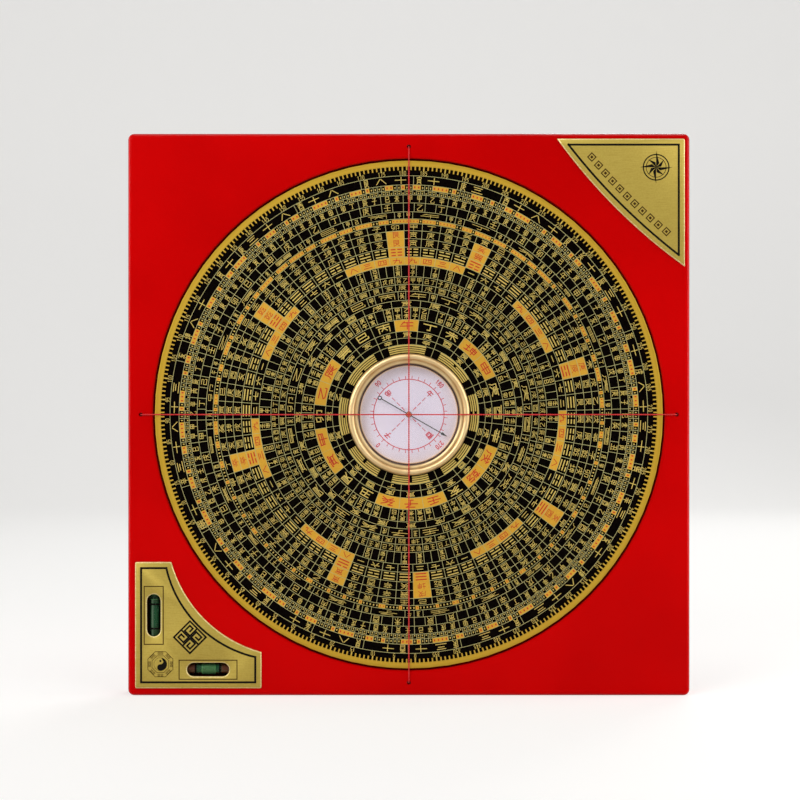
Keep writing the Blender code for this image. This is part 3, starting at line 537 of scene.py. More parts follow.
def bezel_brass(compass):
    """Satin brass with painted shade: browner in the groove and round the outer edge, dark on the
    lip by the glass.
    """
    finish = Finish("bezel_brass", metallic=0.85, coat_weight=0.9, coat_roughness=0.34)
    radius = finish.radius(DIAL_FACE)
    lines = finish.turning(2600.0, 2.0, radius)
    cloud = finish.noise(finish.place(), 120.0)
    outer = half_width("compass_bezel")
    groove = outer - compass.crown
    lip = half_width("lens_ring") - compass.slope + compass.lip
    crown = finish.blend(finish.step(lines * 0.3 + cloud * 0.7, 0.3, 0.75), compass.brass,
                         compass.brass_shade)
    # Painted shade: the groove between crown and lens ring turns a little browner
    shaded = finish.between(radius, (groove - 1.1 * MM, groove - 0.2 * MM),
                             (groove + 0.1 * MM, groove + 1.0 * MM))
    # Painted shade: the crown's outer edge turns browner, standing for the shading there
    skirt = finish.step(radius, outer - 0.9 * MM, outer)
    shaded_brass = finish.blend(shaded * 0.25 + skirt * 0.3, crown, compass.brass_brown)
    # Painted shade: the lens ring turns dark brown towards its lip by the glass, standing for the
    # shadow there
    finish.feed("Base Color", finish.blend(
        finish.step(radius, lip - 0.3 * MM, lip + 0.8 * MM), compass.patina, shaded_brass))
    finish.feed("Roughness", lines * 0.08 + 0.36)
    return finish.material


def spun_brass(plate):
    """Sheet brass spun on a lathe: rings that show, and scratches that run round."""
    finish = Finish("spun_brass", metallic=0.7, specular_ior_level=0.4)
    radius = finish.radius(middle("back_cover"))
    rings = finish.turning(1400.0, 4.0, radius)
    cloud = finish.noise(finish.place(), 90.0)
    finish.tint(rings * 0.75 + cloud * 0.25, 0.36, 0.64, plate.brass_edge, plate.brass_shade)
    finish.feed("Roughness", rings * 0.25 + 0.2)
    finish.bump(rings, 0.25, 0.06 * MM)
    return finish.material


def brushed_brass(name, base, shade):
    """Sheet brass brushed from side to side, brighter and darker in long soft streaks."""
    finish = Finish(name, metallic=0.55, specular_ior_level=0.4)
    fine = finish.noise(finish.place(stretch=(120, 120, 3600)), 1.0, 3.0)
    grain = finish.noise(finish.place(), 1500.0, 2.0)
    finish.tint(fine * 0.6 + grain * 0.4, 0.3, 0.7, base, shade)
    finish.feed("Roughness", fine * 0.16 + 0.36)
    finish.bump(fine * 0.7 + grain * 0.3, 0.2, 0.04 * MM)
    return finish.material


def plated_steel(name, base, roughness=0.25):
    finish = Finish(name, metallic=0.85)
    cloud = finish.noise(finish.place(), 500.0, 4.0)
    finish.tint(cloud, 0.3, 0.7, base, scaled(base, 0.8))
    finish.feed("Roughness", cloud * 0.15 + roughness)
    return finish.material


def card_paper(compass):
    """Matt white card with faint fibres, and a rosy white ring at its edge that is a painted
    highlight.
    """
    finish = Finish("card_paper", specular_ior_level=0.25)
    fibres = finish.noise(finish.place(stretch=(1, 1, 2.5)), 1400.0, 4.0)
    # Painted highlight: a rosy white ring just inside the card's edge
    edge = half_width("compass_card") - 0.7 * MM
    rim = finish.step(finish.radius(CARD_FACE), edge, edge + 0.3 * MM)
    paper = finish.blend(finish.step(fibres, 0.35, 0.7), compass.card,
                         scaled(compass.card, 0.93))
    finish.feed("Base Color", finish.blend(rim, paper, (1.0, 0.86, 0.84)))
    finish.feed("Roughness", fibres * 0.2 + 0.55)
    finish.bump(fibres, 0.15, 0.03 * MM)
    return finish.material


def plain_finish(name, base, roughness, scale, **constants):
    """A moulded or painted surface with a fine even grain."""
    finish = Finish(name, **constants)
    grain = finish.noise(finish.place(), scale, 3.0)
    finish.tint(grain, 0.3, 0.7, base, scaled(base, 0.85))
    finish.feed("Roughness", grain * 0.12 + roughness)
    finish.bump(grain, 0.12, 0.05 * MM)
    return finish.material


def oiled_wood(board):
    """The disc's wood, with grain that runs across."""
    finish = Finish("oiled_wood", specular_ior_level=0.35)
    rings = finish.noise(finish.place(stretch=(6, 90, 90)), 1.0, 5.0, 0.65)
    pores = finish.noise(finish.place(stretch=(60, 900, 900)), 1.0, 2.0)
    finish.tint(rings * 0.7 + pores * 0.3, 0.35, 0.65, board.wood, scaled(board.wood, 0.5))
    finish.feed("Roughness", rings * 0.2 + 0.4)
    finish.bump(pores, 0.3, 0.1 * MM)
    return finish.material


def clear_glass():
    """The compass glass: it shows what is behind it."""
    finish = Finish("compass_clear_glass", base_color=(0.9, 0.93, 0.95, 1), alpha=0.05,
                    specular_ior_level=0.8)
    finish.smear()
    return finish.material


def vial_glass(name, tint, node, across):
    """The vial's tube: clear along its middle; its sides turn dark, painted shade for the light
    that the round glass bends away.
    """
    finish = Finish(name, base_color=(*tint, 1), specular_ior_level=0.3)
    side = finish.axes(finish.place(middle(node)))[across]
    clear_to, dark_from = 2.1 * MM, 3.4 * MM
    # Painted shade: the tube's alpha and dark tint rise towards its sides
    bend = finish.step(side * side, clear_to ** 2, dark_from ** 2)
    finish.feed("Alpha", bend * 0.9 + 0.06)
    finish.smear()
    return finish.material


def bubble_light(name, vial, centre, reach, along, shade):
    """The bubble: dim in its middle, bright where its ends curve and gather the light."""
    finish = Finish(name, specular_ior_level=0.2)
    place = finish.axes(finish.place(centre))
    distance, side = place[along], place[2 - along]
    rounding = 0.9 * MM
    ends = finish.step(distance * distance, (reach - rounding) ** 2, (reach - rounding / 2) ** 2)
    bright_to, dim_from = 0.8 * MM, 2.6 * MM
    fading = 1.0 - finish.step(side * side, bright_to ** 2, dim_from ** 2)
    cloud = finish.noise(finish.place(), 500.0, 2.0)
    finish.feed("Base Color", finish.blend(ends * fading * 0.9 + cloud * 0.1, shade,
                                           vial.bubble))
    finish.feed("Roughness", cloud * 0.08 + 0.1)
    return finish.material


def spirit_green(name, vial, node, along, sides):
    """The liquid: a painted highlight streak beside its middle, painted shade at its sides and a
    brown painted reflection of the red board towards the plugs.
    """
    finish = Finish(name, specular_ior_level=0.3)
    place = finish.axes(finish.place(middle(node)))
    distance, side = place[along], place[2 - along]
    cloud = finish.noise(finish.place(), 160.0, 2.0)
    side = side + (cloud - 0.5) * (0.3 * MM)
    # Painted highlight: a light streak just off the liquid's middle
    painted_streak = finish.between(side, (-1.7 * MM, -1.1 * MM), (-0.9 * MM, -0.2 * MM))
    # Painted shade at the liquid's sides
    left = 1.0 - finish.step(side, -2.2 * MM, -1.4 * MM)
    right = finish.step(side, 1.9 * MM, 2.9 * MM)
    green_to, reflection_from = 5.6 * MM, 7.2 * MM
    # Painted reflection of the red board, brown, towards the plugs
    plugs = finish.step(distance * distance, green_to ** 2, reflection_from ** 2)
    reflection_share, light_share = (0.15, 0.8) if along == 2 else (1.0, 0.15)
    green = finish.blend(plugs * reflection_share, vial.spirit, vial.spirit_brown)
    lit = finish.blend(painted_streak * light_share, green, vial.spirit_light)
    finish.feed("Base Color", finish.blend(left + right, lit, sides))
    finish.feed("Roughness", cloud * 0.05 + 0.12)
    return finish.material


def thread_fibre(thread):
    """Twisted fibres: short slanting streaks."""
    finish = Finish("thread_fibre", sheen_weight=0.1, sheen_roughness=0.4)
    fibres = finish.noise(finish.place(stretch=(1, 1, 1.7)), 2600.0, 3.0)
    finish.tint(fibres, 0.4, 0.7, thread.red, thread.red_shade)
    finish.feed("Roughness", fibres * 0.2 + 0.45)
    finish.bump(fibres, 0.4, 0.05 * MM)
    return finish.material


def as_piece(name, shape, finish, body, replaces=()):
    """Makes a shape an object that rides on a body; corners sharper than the limit stay sharp."""
    mesh = bpy.data.meshes.new(name)
    shape.to_mesh(mesh)
    shape.free()
    mesh.shade_smooth()
    mesh.set_sharp_from_angle(angle=math.radians(38))
    return mesh_piece(name, mesh, finish, body, replaces)


def mesh_piece(name, mesh, finish, body, replaces=()):
    made = bpy.data.objects.new(name, mesh)
    bpy.context.scene.collection.objects.link(made)
    for layer in finish if isinstance(finish, tuple) else (finish,):
        mesh.materials.append(layer)
    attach(made, body)
    if replaces:
        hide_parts(*replaces)
    return made


def lathe(outline, steps):
    """A solid turned about the depth axis from (radius, depth) points."""
    shape = bmesh.new()
    points = [shape.verts.new((radius, depth, 0)) for radius, depth in outline]
    edges = [shape.edges.new(pair) for pair in zip(points, points[1:])]
    if min(outline[0][0], outline[-1][0]) > 0:
        edges.append(shape.edges.new((points[-1], points[0])))
    bmesh.ops.spin(shape, geom=points + edges, cent=(0, 0, 0), axis=(0, 1, 0),
                   angle=math.tau, steps=steps, use_merge=True)
    bmesh.ops.remove_doubles(shape, verts=shape.verts, dist=0.0005 * MM)
    bmesh.ops.recalc_face_normals(shape, faces=shape.faces)
    return shape


def extruded(shape, geometry, way):
    """Moves a copy of some faces and joins it to where they were."""
    grown = bmesh.ops.extrude_face_region(shape, geom=geometry)
    ends = [item for item in grown["geom"] if isinstance(item, bmesh.types.BMVert)]
    bmesh.ops.translate(shape, verts=ends, vec=way)
    bmesh.ops.recalc_face_normals(shape, faces=shape.faces)
    return shape


def moved(shape, matrix):
    bmesh.ops.transform(shape, matrix=matrix, verts=shape.verts)
    return shape


def turned(outline, steps):
    """A solid turned about the dial's axis."""
    return moved(lathe(outline, steps), Matrix.Translation(DIAL_AXIS))


def arc(centre, radii, start, end, steps):
    """Points of an elliptic arc between two angles in radians."""
    turns = [start + (end - start) * i / steps for i in range(steps + 1)]
    return [(centre[0] + radii[0] * math.cos(a), centre[1] + radii[1] * math.sin(a))
            for a in turns]


def on_ring(centre, radius, turn):
    """A map from (across, up) about a place on a ring to a point; it bends with the ring."""
    def point(spot):
        a = turn + spot.x / radius
        return centre + Vector((math.sin(a), 0, math.cos(a))) * (radius + spot.y)
    return point


def on_plate(centre, turn=0.0):
    """The same for a place on a flat plate, turned clockwise."""
    def point(spot):
        return centre + Matrix.Rotation(turn, 3, "Y") @ Vector((spot.x, 0, spot.y))
    return point


class Print:
    """Flat marks in one ink, gathered as faces and given a little thickness at the end."""

    def __init__(self, rise):
        self.shape = bmesh.new()
        self.rise = rise
        self.count = 0

    def lift(self, height=None):
        """Out of the face by a height, or else by one of five that marks which cross take."""
        self.count += 1
        if height is None:
            height = self.rise + self.count % 5 * 0.006 * MM
        return Vector((0, -height, 0))

    def patch(self, points, place, height=None):
        """A face through (across, up) points."""
        lift = self.lift(height)
        return self.shape.faces.new([self.shape.verts.new(place(Vector(p)) + lift)
                                     for p in points])

    def line(self, points, width, place):
        """A line of one width through (across, up) points."""
        points = [Vector(p) for p in points]
        for start, end in zip(points, points[1:]):
            along = (end - start).normalized() * (width / 2)
            side = along.orthogonal()
            self.patch((start - along - side, end + along - side, end + along + side,
                        start - along + side), place)

    def sign(self, strokes, width, height, weight, place):
        """A sign from its strokes on the grid."""
        for stroke in strokes.split():
            self.line([((int(x) / 9 - 0.5) * width, (int(y) / 9 - 0.5) * height)
                       for x, y in zip(stroke[::2], stroke[1::2])], weight, place)

    def number(self, value, width, height, weight, place):
        """Digits side by side about a place."""
        text = str(value)
        pitch = width * 1.35
        for i, digit in enumerate(text):
            shift = Vector(((i - (len(text) - 1) / 2) * pitch, 0))
            self.sign(DIGITS[int(digit)], width, height, weight,
                      lambda spot, shift=shift: place(spot + shift))

    def band(self, centre, inner, outer, start, sweep, steps):
        """A part of a ring, or a whole one."""
        lift = self.lift()
        ray = Vector((math.sin(start), 0, math.cos(start)))
        ends = [self.shape.verts.new(centre + ray * r + lift) for r in (inner, outer)]
        edge = self.shape.edges.new(ends)
        bmesh.ops.spin(self.shape, geom=ends + [edge], cent=centre, axis=(0, 1, 0),
                       angle=sweep, steps=steps, use_merge=math.isclose(sweep, math.tau))

    def disc(self, place, radius, sides, height=None):
        """A small disc, or an oval one of half the given height."""
        height = height or radius
        turns = [math.tau * i / sides for i in range(sides)]
        self.patch([(radius * math.sin(a), height * math.cos(a)) for a in turns], place)

    def piece(self, name, finish, body, slot, depth):
        """Thickens the marks into what they lie on, and makes them a piece."""
        shape = extruded(self.shape, self.shape.faces[:], (0, depth, 0))
        return as_piece(name, shape, finish, body)


class DialPrint:
    """The inks of one group of the dial's rings."""

    def __init__(self, settings):
        self.settings = settings
        self.inks = {ink: Print(settings.print_rise * share)
                     for ink, (_, share, _, _) in DIAL_INKS.items()}

    def __getitem__(self, ink):
        return self.inks[ink]

    def turn(self, degrees):
        """Where a nominal angle lies on the turned print."""
        return math.radians(degrees) - self.settings.print_turn

    def cell(self, ring, degrees, share=0.5):
        """A place in a ring, share of the way from its inner edge to its outer."""
        outer, inner = RINGS[ring]
        return on_ring(DIAL_FACE, (inner + (outer - inner) * share) * MM, self.turn(degrees))

    def fill(self, ring, start, width, inner_ring=None, margin=0.0):
        """A gold cell from one angle over a width, in degrees, through one or more rings."""
        outer = RINGS[ring][0] - margin
        inner = RINGS[inner_ring or ring][1] + margin
        self["gold"].band(DIAL_FACE, inner * MM, outer * MM, self.turn(start),
                          math.radians(width), max(1, round(width)))

    def divider(self, ring, degrees):
        """A line across a ring."""
        outer, inner = RINGS[ring]
        half = (outer - inner) / 2 * MM
        self["pale"].line([(0, -half), (0, half)], self.settings.line, self.cell(ring, degrees))

    def row(self, ring, cells, first, signs, size, weight=1.0, keep=(0,), every=1, share=0.5,
            stride=1, red=()):
        """Signs in the middle of a ring's cells, of which some are kept and some are red."""
        for i in range(cells):
            if i % every not in keep:
                continue
            ink = "red" if i in red else "bright"
            self[ink].sign(signs[i * stride % len(signs)], size[0] * MM, size[1] * MM,
                           self.settings.weight * weight,
                           self.cell(ring, first + i * 360 / cells, share))

    def pieces(self, name, materials):
        for ink, marks in self.inks.items():
            if marks.count:
                marks.piece(f"{name}_{ink}", materials[ink], "dial",
                            "red_print" if ink == "red" else "gold_print",
                            self.settings.print_depth)
            else:
                marks.shape.free()


INKS = {}


def dial_inks(dial):
    """The dial's inks, made once and shared by its operators."""
    if not INKS:
        for ink, (name, _, metallic, roughness) in DIAL_INKS.items():
            INKS[ink] = dial_ink(name, getattr(dial, ink), metallic, roughness)
    return INKS


class Maker:
    """What every operator of this file shares."""
    bl_options = {"REGISTER", "UNDO"}

    def execute(self, context):
        self.make(context.scene)
        return {"FINISHED"}


class DialMaker(Maker):
    """What the operators share that print a group of the dial's rings."""

    def make(self, scene):
        marks = DialPrint(scene.luopan_dial)
        self.mark(marks)
        marks.pieces(self.print_name, dial_inks(scene.luopan_dial))


class DRESS_OT_board(Maker, bpy.types.Operator):
    """Finishes the board, the wooden disc and the bearing behind it"""
    bl_idname = "luopan.board"
    bl_label = "Board and bearing"

    def make(self, scene):
        board = scene.luopan_board
        compass = scene.luopan_compass
        steel = plated_steel("plated_steel", compass.steel)
        finishes = {
            "board": red_lacquer(board),
            "dial_disc": oiled_wood(board),
            "bearing_bush": plain_finish("nylon", board.nylon, 0.35, 300.0),
            "retaining_washer": steel,
            "retaining_nut": steel,
            "pivot_pin": steel,
        }
        for name, finish in finishes.items():
            paint(name, finish)


def paint(node, finish):
    """Gives a CAD node its finish."""
    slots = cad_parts[node].material_slots
    for slot in slots:
        slot.material = finish
    if not slots:
        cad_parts[node].data.materials.append(finish)


class DRESS_OT_back(Maker, bpy.types.Operator):
    """Finishes the back cover and makes its four slotted screws"""
    bl_idname = "luopan.back"
    bl_label = "Back cover and screws"

    def make(self, scene):
        plate = scene.luopan_plate
        slot_width = scene.luopan_board.screw_slot
        paint("back_cover", spun_brass(plate))
        steel = plated_steel("screw_steel", scene.luopan_compass.steel, 0.2)
        for i in range(1, 5):
            name = f"cover_screw_{i}"
            shape = slotted_screw(name, slot_width)
            slot_turn = Matrix.Rotation(i * 1.1, 4, "Y")
            moved(shape, Matrix.Translation(middle(name)) @ slot_turn)
            as_piece(f"{name}_slotted", shape, steel, "base", [name])


def slotted_screw(node, slot_width):
    """A pointed screw with a flat head about the origin, its slot towards the back."""
    low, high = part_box(node)
    half = (high.y - low.y) / 2
    head = half_width(node)
    shank = head * 0.56
    head_depth, chamfer, slot_depth = 0.8 * MM, 0.12 * MM, 0.45 * MM
    outline = [(0, -half), (shank, -half + shank), (shank, half - head_depth),
               (head, half - head_depth), (head, half - chamfer), (head - chamfer, half),
               (0, half)]
    shape = lathe(outline, 24)
    floor = half - chamfer - slot_depth
    for point, normal in (((0, 0, -slot_width / 2), (0, 0, -1)),
                          ((0, 0, slot_width / 2), (0, 0, 1)), ((0, floor, 0), (0, 1, 0))):
        bmesh.ops.bisect_plane(shape, geom=shape.verts[:] + shape.edges[:] + shape.faces[:],
                               plane_co=point, plane_no=normal)

    def across(face, share):
        return abs(face.calc_center_median().z) < slot_width * share

    strip = [face for face in shape.faces if face.normal.y > 0.5 and across(face, 0.5)]
    rims = {edge for face in strip for edge in face.edges}
    extruded(shape, [*strip, *rims], (0, -slot_depth, 0))
    ends = [face for face in shape.faces if abs(face.normal.y) < 0.1 and across(face, 0.4)
            and face.calc_center_median().y > floor]
    bmesh.ops.delete(shape, geom=ends, context="FACES")
    bmesh.ops.remove_doubles(shape, verts=shape.verts, dist=0.0005 * MM)
    bmesh.ops.recalc_face_normals(shape, faces=shape.faces)
    return shape


def lodges():
    """Nominal start and width in degrees of each of the 28 unequal cells."""
    start = LODGES_START
    for width in LODGES:
        yield start, width
        start += width


def gold_cells(gold, plain):
    """Which of a ring's one-degree cells are gold, from the lengths of the runs."""
    cells = []
    turn = 0
    while len(cells) < 360:
        cells += [True] * gold[turn % len(gold)] + [False] * plain[turn % len(plain)]
        turn += 1
    return cells[:360]


def bars(whole, reach, gap):
    """Ends of a trigram's line about its middle: one bar if it is whole, two if it is broken."""
    return [(-reach, reach)] if whole else [(-reach, -gap), (gap, reach)]


class DRESS_OT_dial_rings(DialMaker, bpy.types.Operator):
    """Prints the dial's ground, its ring lines and the lines between its cells"""
    bl_idname = "luopan.dial_rings"
    bl_label = "Dial rings"
    print_name = "ring_lines"

    def mark(self, marks):
        paint("dial_plate", dial_ground(marks.settings))
        half = marks.settings.line / 2
        for outer, _ in list(RINGS.values())[1:]:
            marks["pale"].band(DIAL_FACE, outer * MM - half, outer * MM + half, 0, math.tau, 180)
        for ring, cells, first in DIVIDED:
            for i in range(cells):
                marks.divider(ring, first + i * 360 / cells)
        for start, _ in lodges():
            marks.divider("lodges", start)


class DRESS_OT_degrees(DialMaker, bpy.types.Operator):
    """Prints the degree scale: a tick for each degree and a number at every fifth"""
    bl_idname = "luopan.degrees"
    bl_label = "Degree scale"
    print_name = "degree_scale"

    def mark(self, marks):
        bright = marks["bright"]
        rim = RINGS["degrees"][0] * MM
        above, long, short, tick_width = 0.3 * MM, 1.9 * MM, 1.5 * MM, 0.7 * MM
        for degree in range(360):
            fifth = degree % 5 == 0
            marks["rim"].line([(0, above), (0, -long if fifth else -short)], tick_width,
                              on_ring(DIAL_FACE, rim, marks.turn(degree)))
            if fifth:
                bright.disc(marks.cell("degrees", degree, 0.7), 0.36 * MM, 4, 0.7 * MM)
                bright.number((180 + degree) % 360, 0.95 * MM, 2.0 * MM, 0.22 * MM,
                              marks.cell("degrees", degree, 0.28))


class DRESS_OT_outer_signs(DialMaker, bpy.types.Operator):
    """Prints the outer rings of signs"""
    bl_idname = "luopan.outer_signs"
    bl_label = "Outer signs"
    print_name = "outer_signs"

    def mark(self, marks):
        bright, weight = marks["bright"], marks.settings.weight
        first, pitch = 1.3, 4.9
        numerals = [NUMERALS[i] for i in (9, 2, 9, 7)]
        for i, (start, width) in enumerate(lodges()):
            bright.sign(BUSY[i % len(BUSY)], 2.4 * MM, 3.7 * MM, weight * 1.1,
                        marks.cell("lodges", start + first))
            for k in range((width - 3) // 5):
                bright.sign(numerals[(i + k) % 4], 5.4 * MM, 3.2 * MM, weight * 1.3,
                            marks.cell("lodges", start + pitch + k * pitch))
        for shift, stride in ((-1.25, 1), (1.25, 7)):
            marks.row("pairs", 60, 3.0 + shift, CYCLE, (2.1, 3.1), stride=stride)
        marks.row("sparse", 120, 1.5, CYCLE, (3.0, 3.3), keep=(1, 3), every=5)
        marks.row("wide_outer", 24, 7.5, DIRECTIONS, (9.0, 1.9), 0.8)
        for first, stride in ((1.3, 5), (13.7, 7)):
            marks.row("wide_outer", 24, first, CYCLE, (1.6, 2.5), 0.8, stride=stride)


class DRESS_OT_dotted_rings(DialMaker, bpy.types.Operator):
    """Prints the three rings of one-degree cells, some of them gold with a red dot"""
    bl_idname = "luopan.dotted_rings"
    bl_label = "Dotted rings"
    print_name = "dotted_rings"

    def mark(self, marks):
        bright, red = marks["bright"], marks["red"]
        outer = gold_cells(*OUTER_RUNS)
        upper = gold_cells(*UPPER_RUNS)
        lower = gold_cells(*LOWER_RUNS)
        for degree in range(360):
            if outer[degree]:
                marks.fill("outer_dots", degree - 0.5, 1.0, margin=0.1)
                red.disc(marks.cell("outer_dots", degree), 0.42 * MM, 6, 0.62 * MM)
            else:
                bright.disc(marks.cell("outer_dots", degree, 0.45), 0.32 * MM, 6, 0.56 * MM)
                marks.divider("outer_dots", degree + 0.5)
            bright.disc(marks.cell("middle_dots", degree, 0.3), 0.36 * MM, 6, 0.4 * MM)
            if degree % 3:
                bright.line([(-0.45 * MM, 0), (0.45 * MM, 0)], marks.settings.weight,
                            marks.cell("middle_dots", degree, 0.72))
            from_top = abs((degree + 180) % 360 - 180)
            inner = upper if from_top < 50 else outer if from_top < 100 else lower
            if inner[degree]:
                marks.fill("inner_dots", degree - 0.5, 1.0, margin=0.25)
                red.disc(marks.cell("inner_dots", degree), 0.3 * MM, 6, 0.45 * MM)
            else:
                bright.disc(marks.cell("inner_dots", degree), 0.36 * MM, 6, 0.55 * MM)


class DRESS_OT_columns(DialMaker, bpy.types.Operator):
    """Prints the 64 columns: three signs, a figure of three lines and a numeral each"""
    bl_idname = "luopan.columns"
    bl_label = "Columns"
    print_name = "columns"

    def mark(self, marks):
        step = 360 / 64
        first = step / 2
        marks.row("column_top", 64, first, CYCLE, (4.0, 2.4), 0.9, stride=3)
        marks.row("column_upper", 64, first, BUSY, (3.7, 2.8), 0.9, red=GOLD_COLUMNS)
        marks.row("column_lower", 64, first, BUSY, (3.8, 2.9), 0.9, stride=5, red=GOLD_COLUMNS)
        for column in range(64):
            gold = column in GOLD_COLUMNS
            place = marks.cell("figures", first + column * step)
            lines = column if column < 32 else 63 - column
            for level in range(3):
                up = (level - 1) * 1.5 * MM
                for start, end in bars(lines >> level & 1, 2.5 * MM, 0.75 * MM):
                    marks["red" if gold else "bright"].line([(start, up), (end, up)], 0.6 * MM,
                                                            place)
            if gold:
                marks.fill("column_upper", column * step, step, "figures")
        rising, falling = (9, 4, 3, 8), (1, 6, 7, 2)
        for column in range(64):
            group, place = divmod(column, 4)
            gold = group in GOLD_NUMERALS
            order = rising if gold else falling
            numeral = order[place if column < 32 else 3 - place]
            marks["red" if gold else "bright"].sign(
                NUMERALS[numeral - 1], 4.0 * MM, 2.5 * MM, 0.36 * MM,
                marks.cell("numerals", first + column * step))
            if gold and place == 0:
                marks.fill("numerals", column * step, 4 * step)


class DRESS_OT_middle_signs(DialMaker, bpy.types.Operator):
    """Prints the four rings of signs inside the numerals"""
    bl_idname = "luopan.middle_signs"
    bl_label = "Middle signs"
    print_name = "middle_signs"

    def mark(self, marks):
        for signs, share, stride in ((STEMS, 0.74, 1), (BRANCHES, 0.28, 5)):
            marks.row("tall", 120, 3.0, signs, (2.0, 2.2), keep=(0, 3), every=5, share=share,
                      stride=stride)
        for shift, stride in ((-1.35, 5), (1.35, 3)):
            marks.row("dense_outer", 60, 4.5 + shift, CYCLE, (2.1, 2.5), 0.75, stride=stride)
        marks.row("dense_inner", 60, 4.5, BUSY, (3.6, 2.2), 0.75, stride=7)
        marks.row("wide_inner", 24, 5.9, DIRECTIONS, (7.8, 2.6), 1.05)
        marks.row("wide_inner", 24, 13.2, CYCLE, (1.9, 2.7), 0.9, stride=9)


class DRESS_OT_inner_signs(DialMaker, bpy.types.Operator):
    """Prints the rings of directions and the names next to them"""
    bl_idname = "luopan.inner_signs"
    bl_label = "Inner signs"
    print_name = "inner_signs"

    def mark(self, marks):
        marks.row("narrow", 24, 0, BUSY, (5.0, 2.3), 1.1, stride=5)
        for signs, share, stride in ((STEMS, 0.75, 1), (BRANCHES, 0.27, 5)):
            marks.row("stacked", 72, 5.0, signs, (2.3, 2.2), keep=(0, 1, 3, 4, 5), every=6,
                      share=share, stride=stride)
        marks.row("mountains", 24, 0, DIRECTIONS, (6.3, 3.6), 1.7, red=GOLD_DIRECTIONS)
        for i in GOLD_DIRECTIONS:
            marks.fill("mountains", i * 15 - 7.5, 15)
        marks.row("upper_names", 24, 0, BUSY, (4.2, 2.3), 1.15)
        marks.row("lower_names", 24, 0, CYCLE, (3.6, 2.1), 1.1, keep=(1,), every=2, stride=7)


class DRESS_OT_trigrams(DialMaker, bpy.types.Operator):
    """Prints the eight trigrams round the compass, each under a whole bar of its own"""
    bl_idname = "luopan.trigrams"
    bl_label = "Trigrams"
    print_name = "trigrams"

    def mark(self, marks):
        radii = ((35.5, 34.75), (34.3, 33.65), (33.25, 32.6), (32.2, 31.55))
        for i, lines in enumerate(TRIGRAMS):
            for (outer, inner), line in zip(radii, "1" + lines):
                for start, end in bars(line == "1", 16.0, 1.4):
                    marks["bright"].band(DIAL_FACE, inner * MM, outer * MM,
                                         marks.turn(i * 45 + start),
                                         math.radians(end - start), round((end - start) / 2))


class DRESS_OT_bezel(Maker, bpy.types.Operator):
    """Turns the bezel, the lens ring and a dark seal that is painted shade, and finishes the cup
    and ring nut
    """
    bl_idname = "luopan.bezel"
    bl_label = "Bezel and cup"

    def make(self, scene):
        compass = scene.luopan_compass
        brass = bezel_brass(compass)
        cup = cup_brass(compass)
        for node in ("compass_cup", "ring_nut"):
            paint(node, cup)
        low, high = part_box("compass_bezel")
        ring_low, ring_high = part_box("lens_ring")
        floor = ring_high.y
        outer = half_width("compass_bezel")
        groove = outer - compass.crown
        skirt = outer - 0.75 * MM
        chamfer = 0.15 * MM
        shoulder = ring_low.y + 0.3 * MM
        crown = arc((outer - compass.crown / 2, floor), (compass.crown / 2, low.y - floor), 0,
                    math.pi - math.asin((floor - shoulder) / (floor - low.y)), 18)
        crown += [(groove, shoulder), (groove, floor), (skirt, floor), (skirt, high.y),
                  (outer - chamfer, high.y), (outer, high.y - chamfer)]
        self.ring("bezel", crown, compass, brass, "compass_bezel")
        play, wall, edge = 0.08 * MM, 0.3 * MM, 0.1 * MM
        rim = outer - (compass.crown + play)
        inner = half_width("lens_ring") - compass.slope
        top = ring_low.y
        slope = arc((rim - wall, floor), (inner - rim + wall, top - floor), 0, math.pi / 2, 12)
        slope += [(rim - edge, top), (rim, top + edge), (rim, floor)]
        self.ring("lens_ring_turned", slope, compass, brass, "lens_ring")
        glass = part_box("compass_glass")[0].y
        # The seal is painted shade: a dark ring that stands for the shadow line between the lens
        # ring and the glass
        rubber = plain_finish("seal_rubber", compass.seal_colour, 0.6, 900.0,
                              specular_ior_level=0.05)
        seal = arc((inner, (floor + glass) / 2), (compass.seal / 2, (glass - floor) / 2), 0,
                   math.tau * 15 / 16, 15)
        self.ring("glass_seal", seal, compass, rubber)

    def ring(self, name, outline, compass, finish, node=None):
        as_piece(name, turned(outline, compass.sides), finish, "dial",
                 [node] if node else ())


class DRESS_OT_card(Maker, bpy.types.Operator):
    """Finishes and prints the compass card, and makes the glass over it"""
    bl_idname = "luopan.card"
    bl_label = "Card and glass"

    def make(self, scene):
        compass = scene.luopan_compass
        paint("compass_card", card_paper(compass))
        red = Print(FLAT_RISE)
        circle, half, thin = compass.circle, 0.22 * MM, 0.32 * MM
        red.band(CARD_FACE, circle - half, circle + half, 0, math.tau, 120)
        for i in range(36):
            red.line([(0, 0), (0, 1.6 * MM)], thin,
                     on_ring(CARD_FACE, circle, math.radians(i * 10 + 5)))
        for i, value in enumerate((180, 270, 0, 90)):
            turn = math.radians(45 + i * 90)
            red.number(value, 1.15 * MM, 2.1 * MM, 0.42 * MM,
                       on_ring(CARD_FACE, 22.2 * MM, turn))
            red.sign(DIRECTIONS[i * 6], 2.7 * MM, 2.8 * MM, 0.5 * MM,
                     on_ring(CARD_FACE, 15.0 * MM, turn))
            for radius in (3.0, 6.4, 9.8):
                red.line([(0, 0), (0, 2.1 * MM)], thin, on_ring(CARD_FACE, radius * MM, turn))
        ink = dial_ink("card_red", compass.card_red, 0.0, 0.55)
        red.piece("card_print", ink, "dial", "red_print", 0.05 * MM)
        self.glass(compass)

    def glass(self, compass):
        """The glass, a thin disc with a ground edge."""
        low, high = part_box("compass_glass")
        radius = half_width("compass_glass")
        edge = 0.2 * MM
        outline = [(0, low.y), (radius - edge, low.y), (radius, low.y + edge),
                   (radius, high.y - edge), (radius - edge, high.y), (0, high.y)]
        as_piece("glass_disc", turned(outline, compass.sides), clear_glass(), "dial",
                 ["compass_glass"])


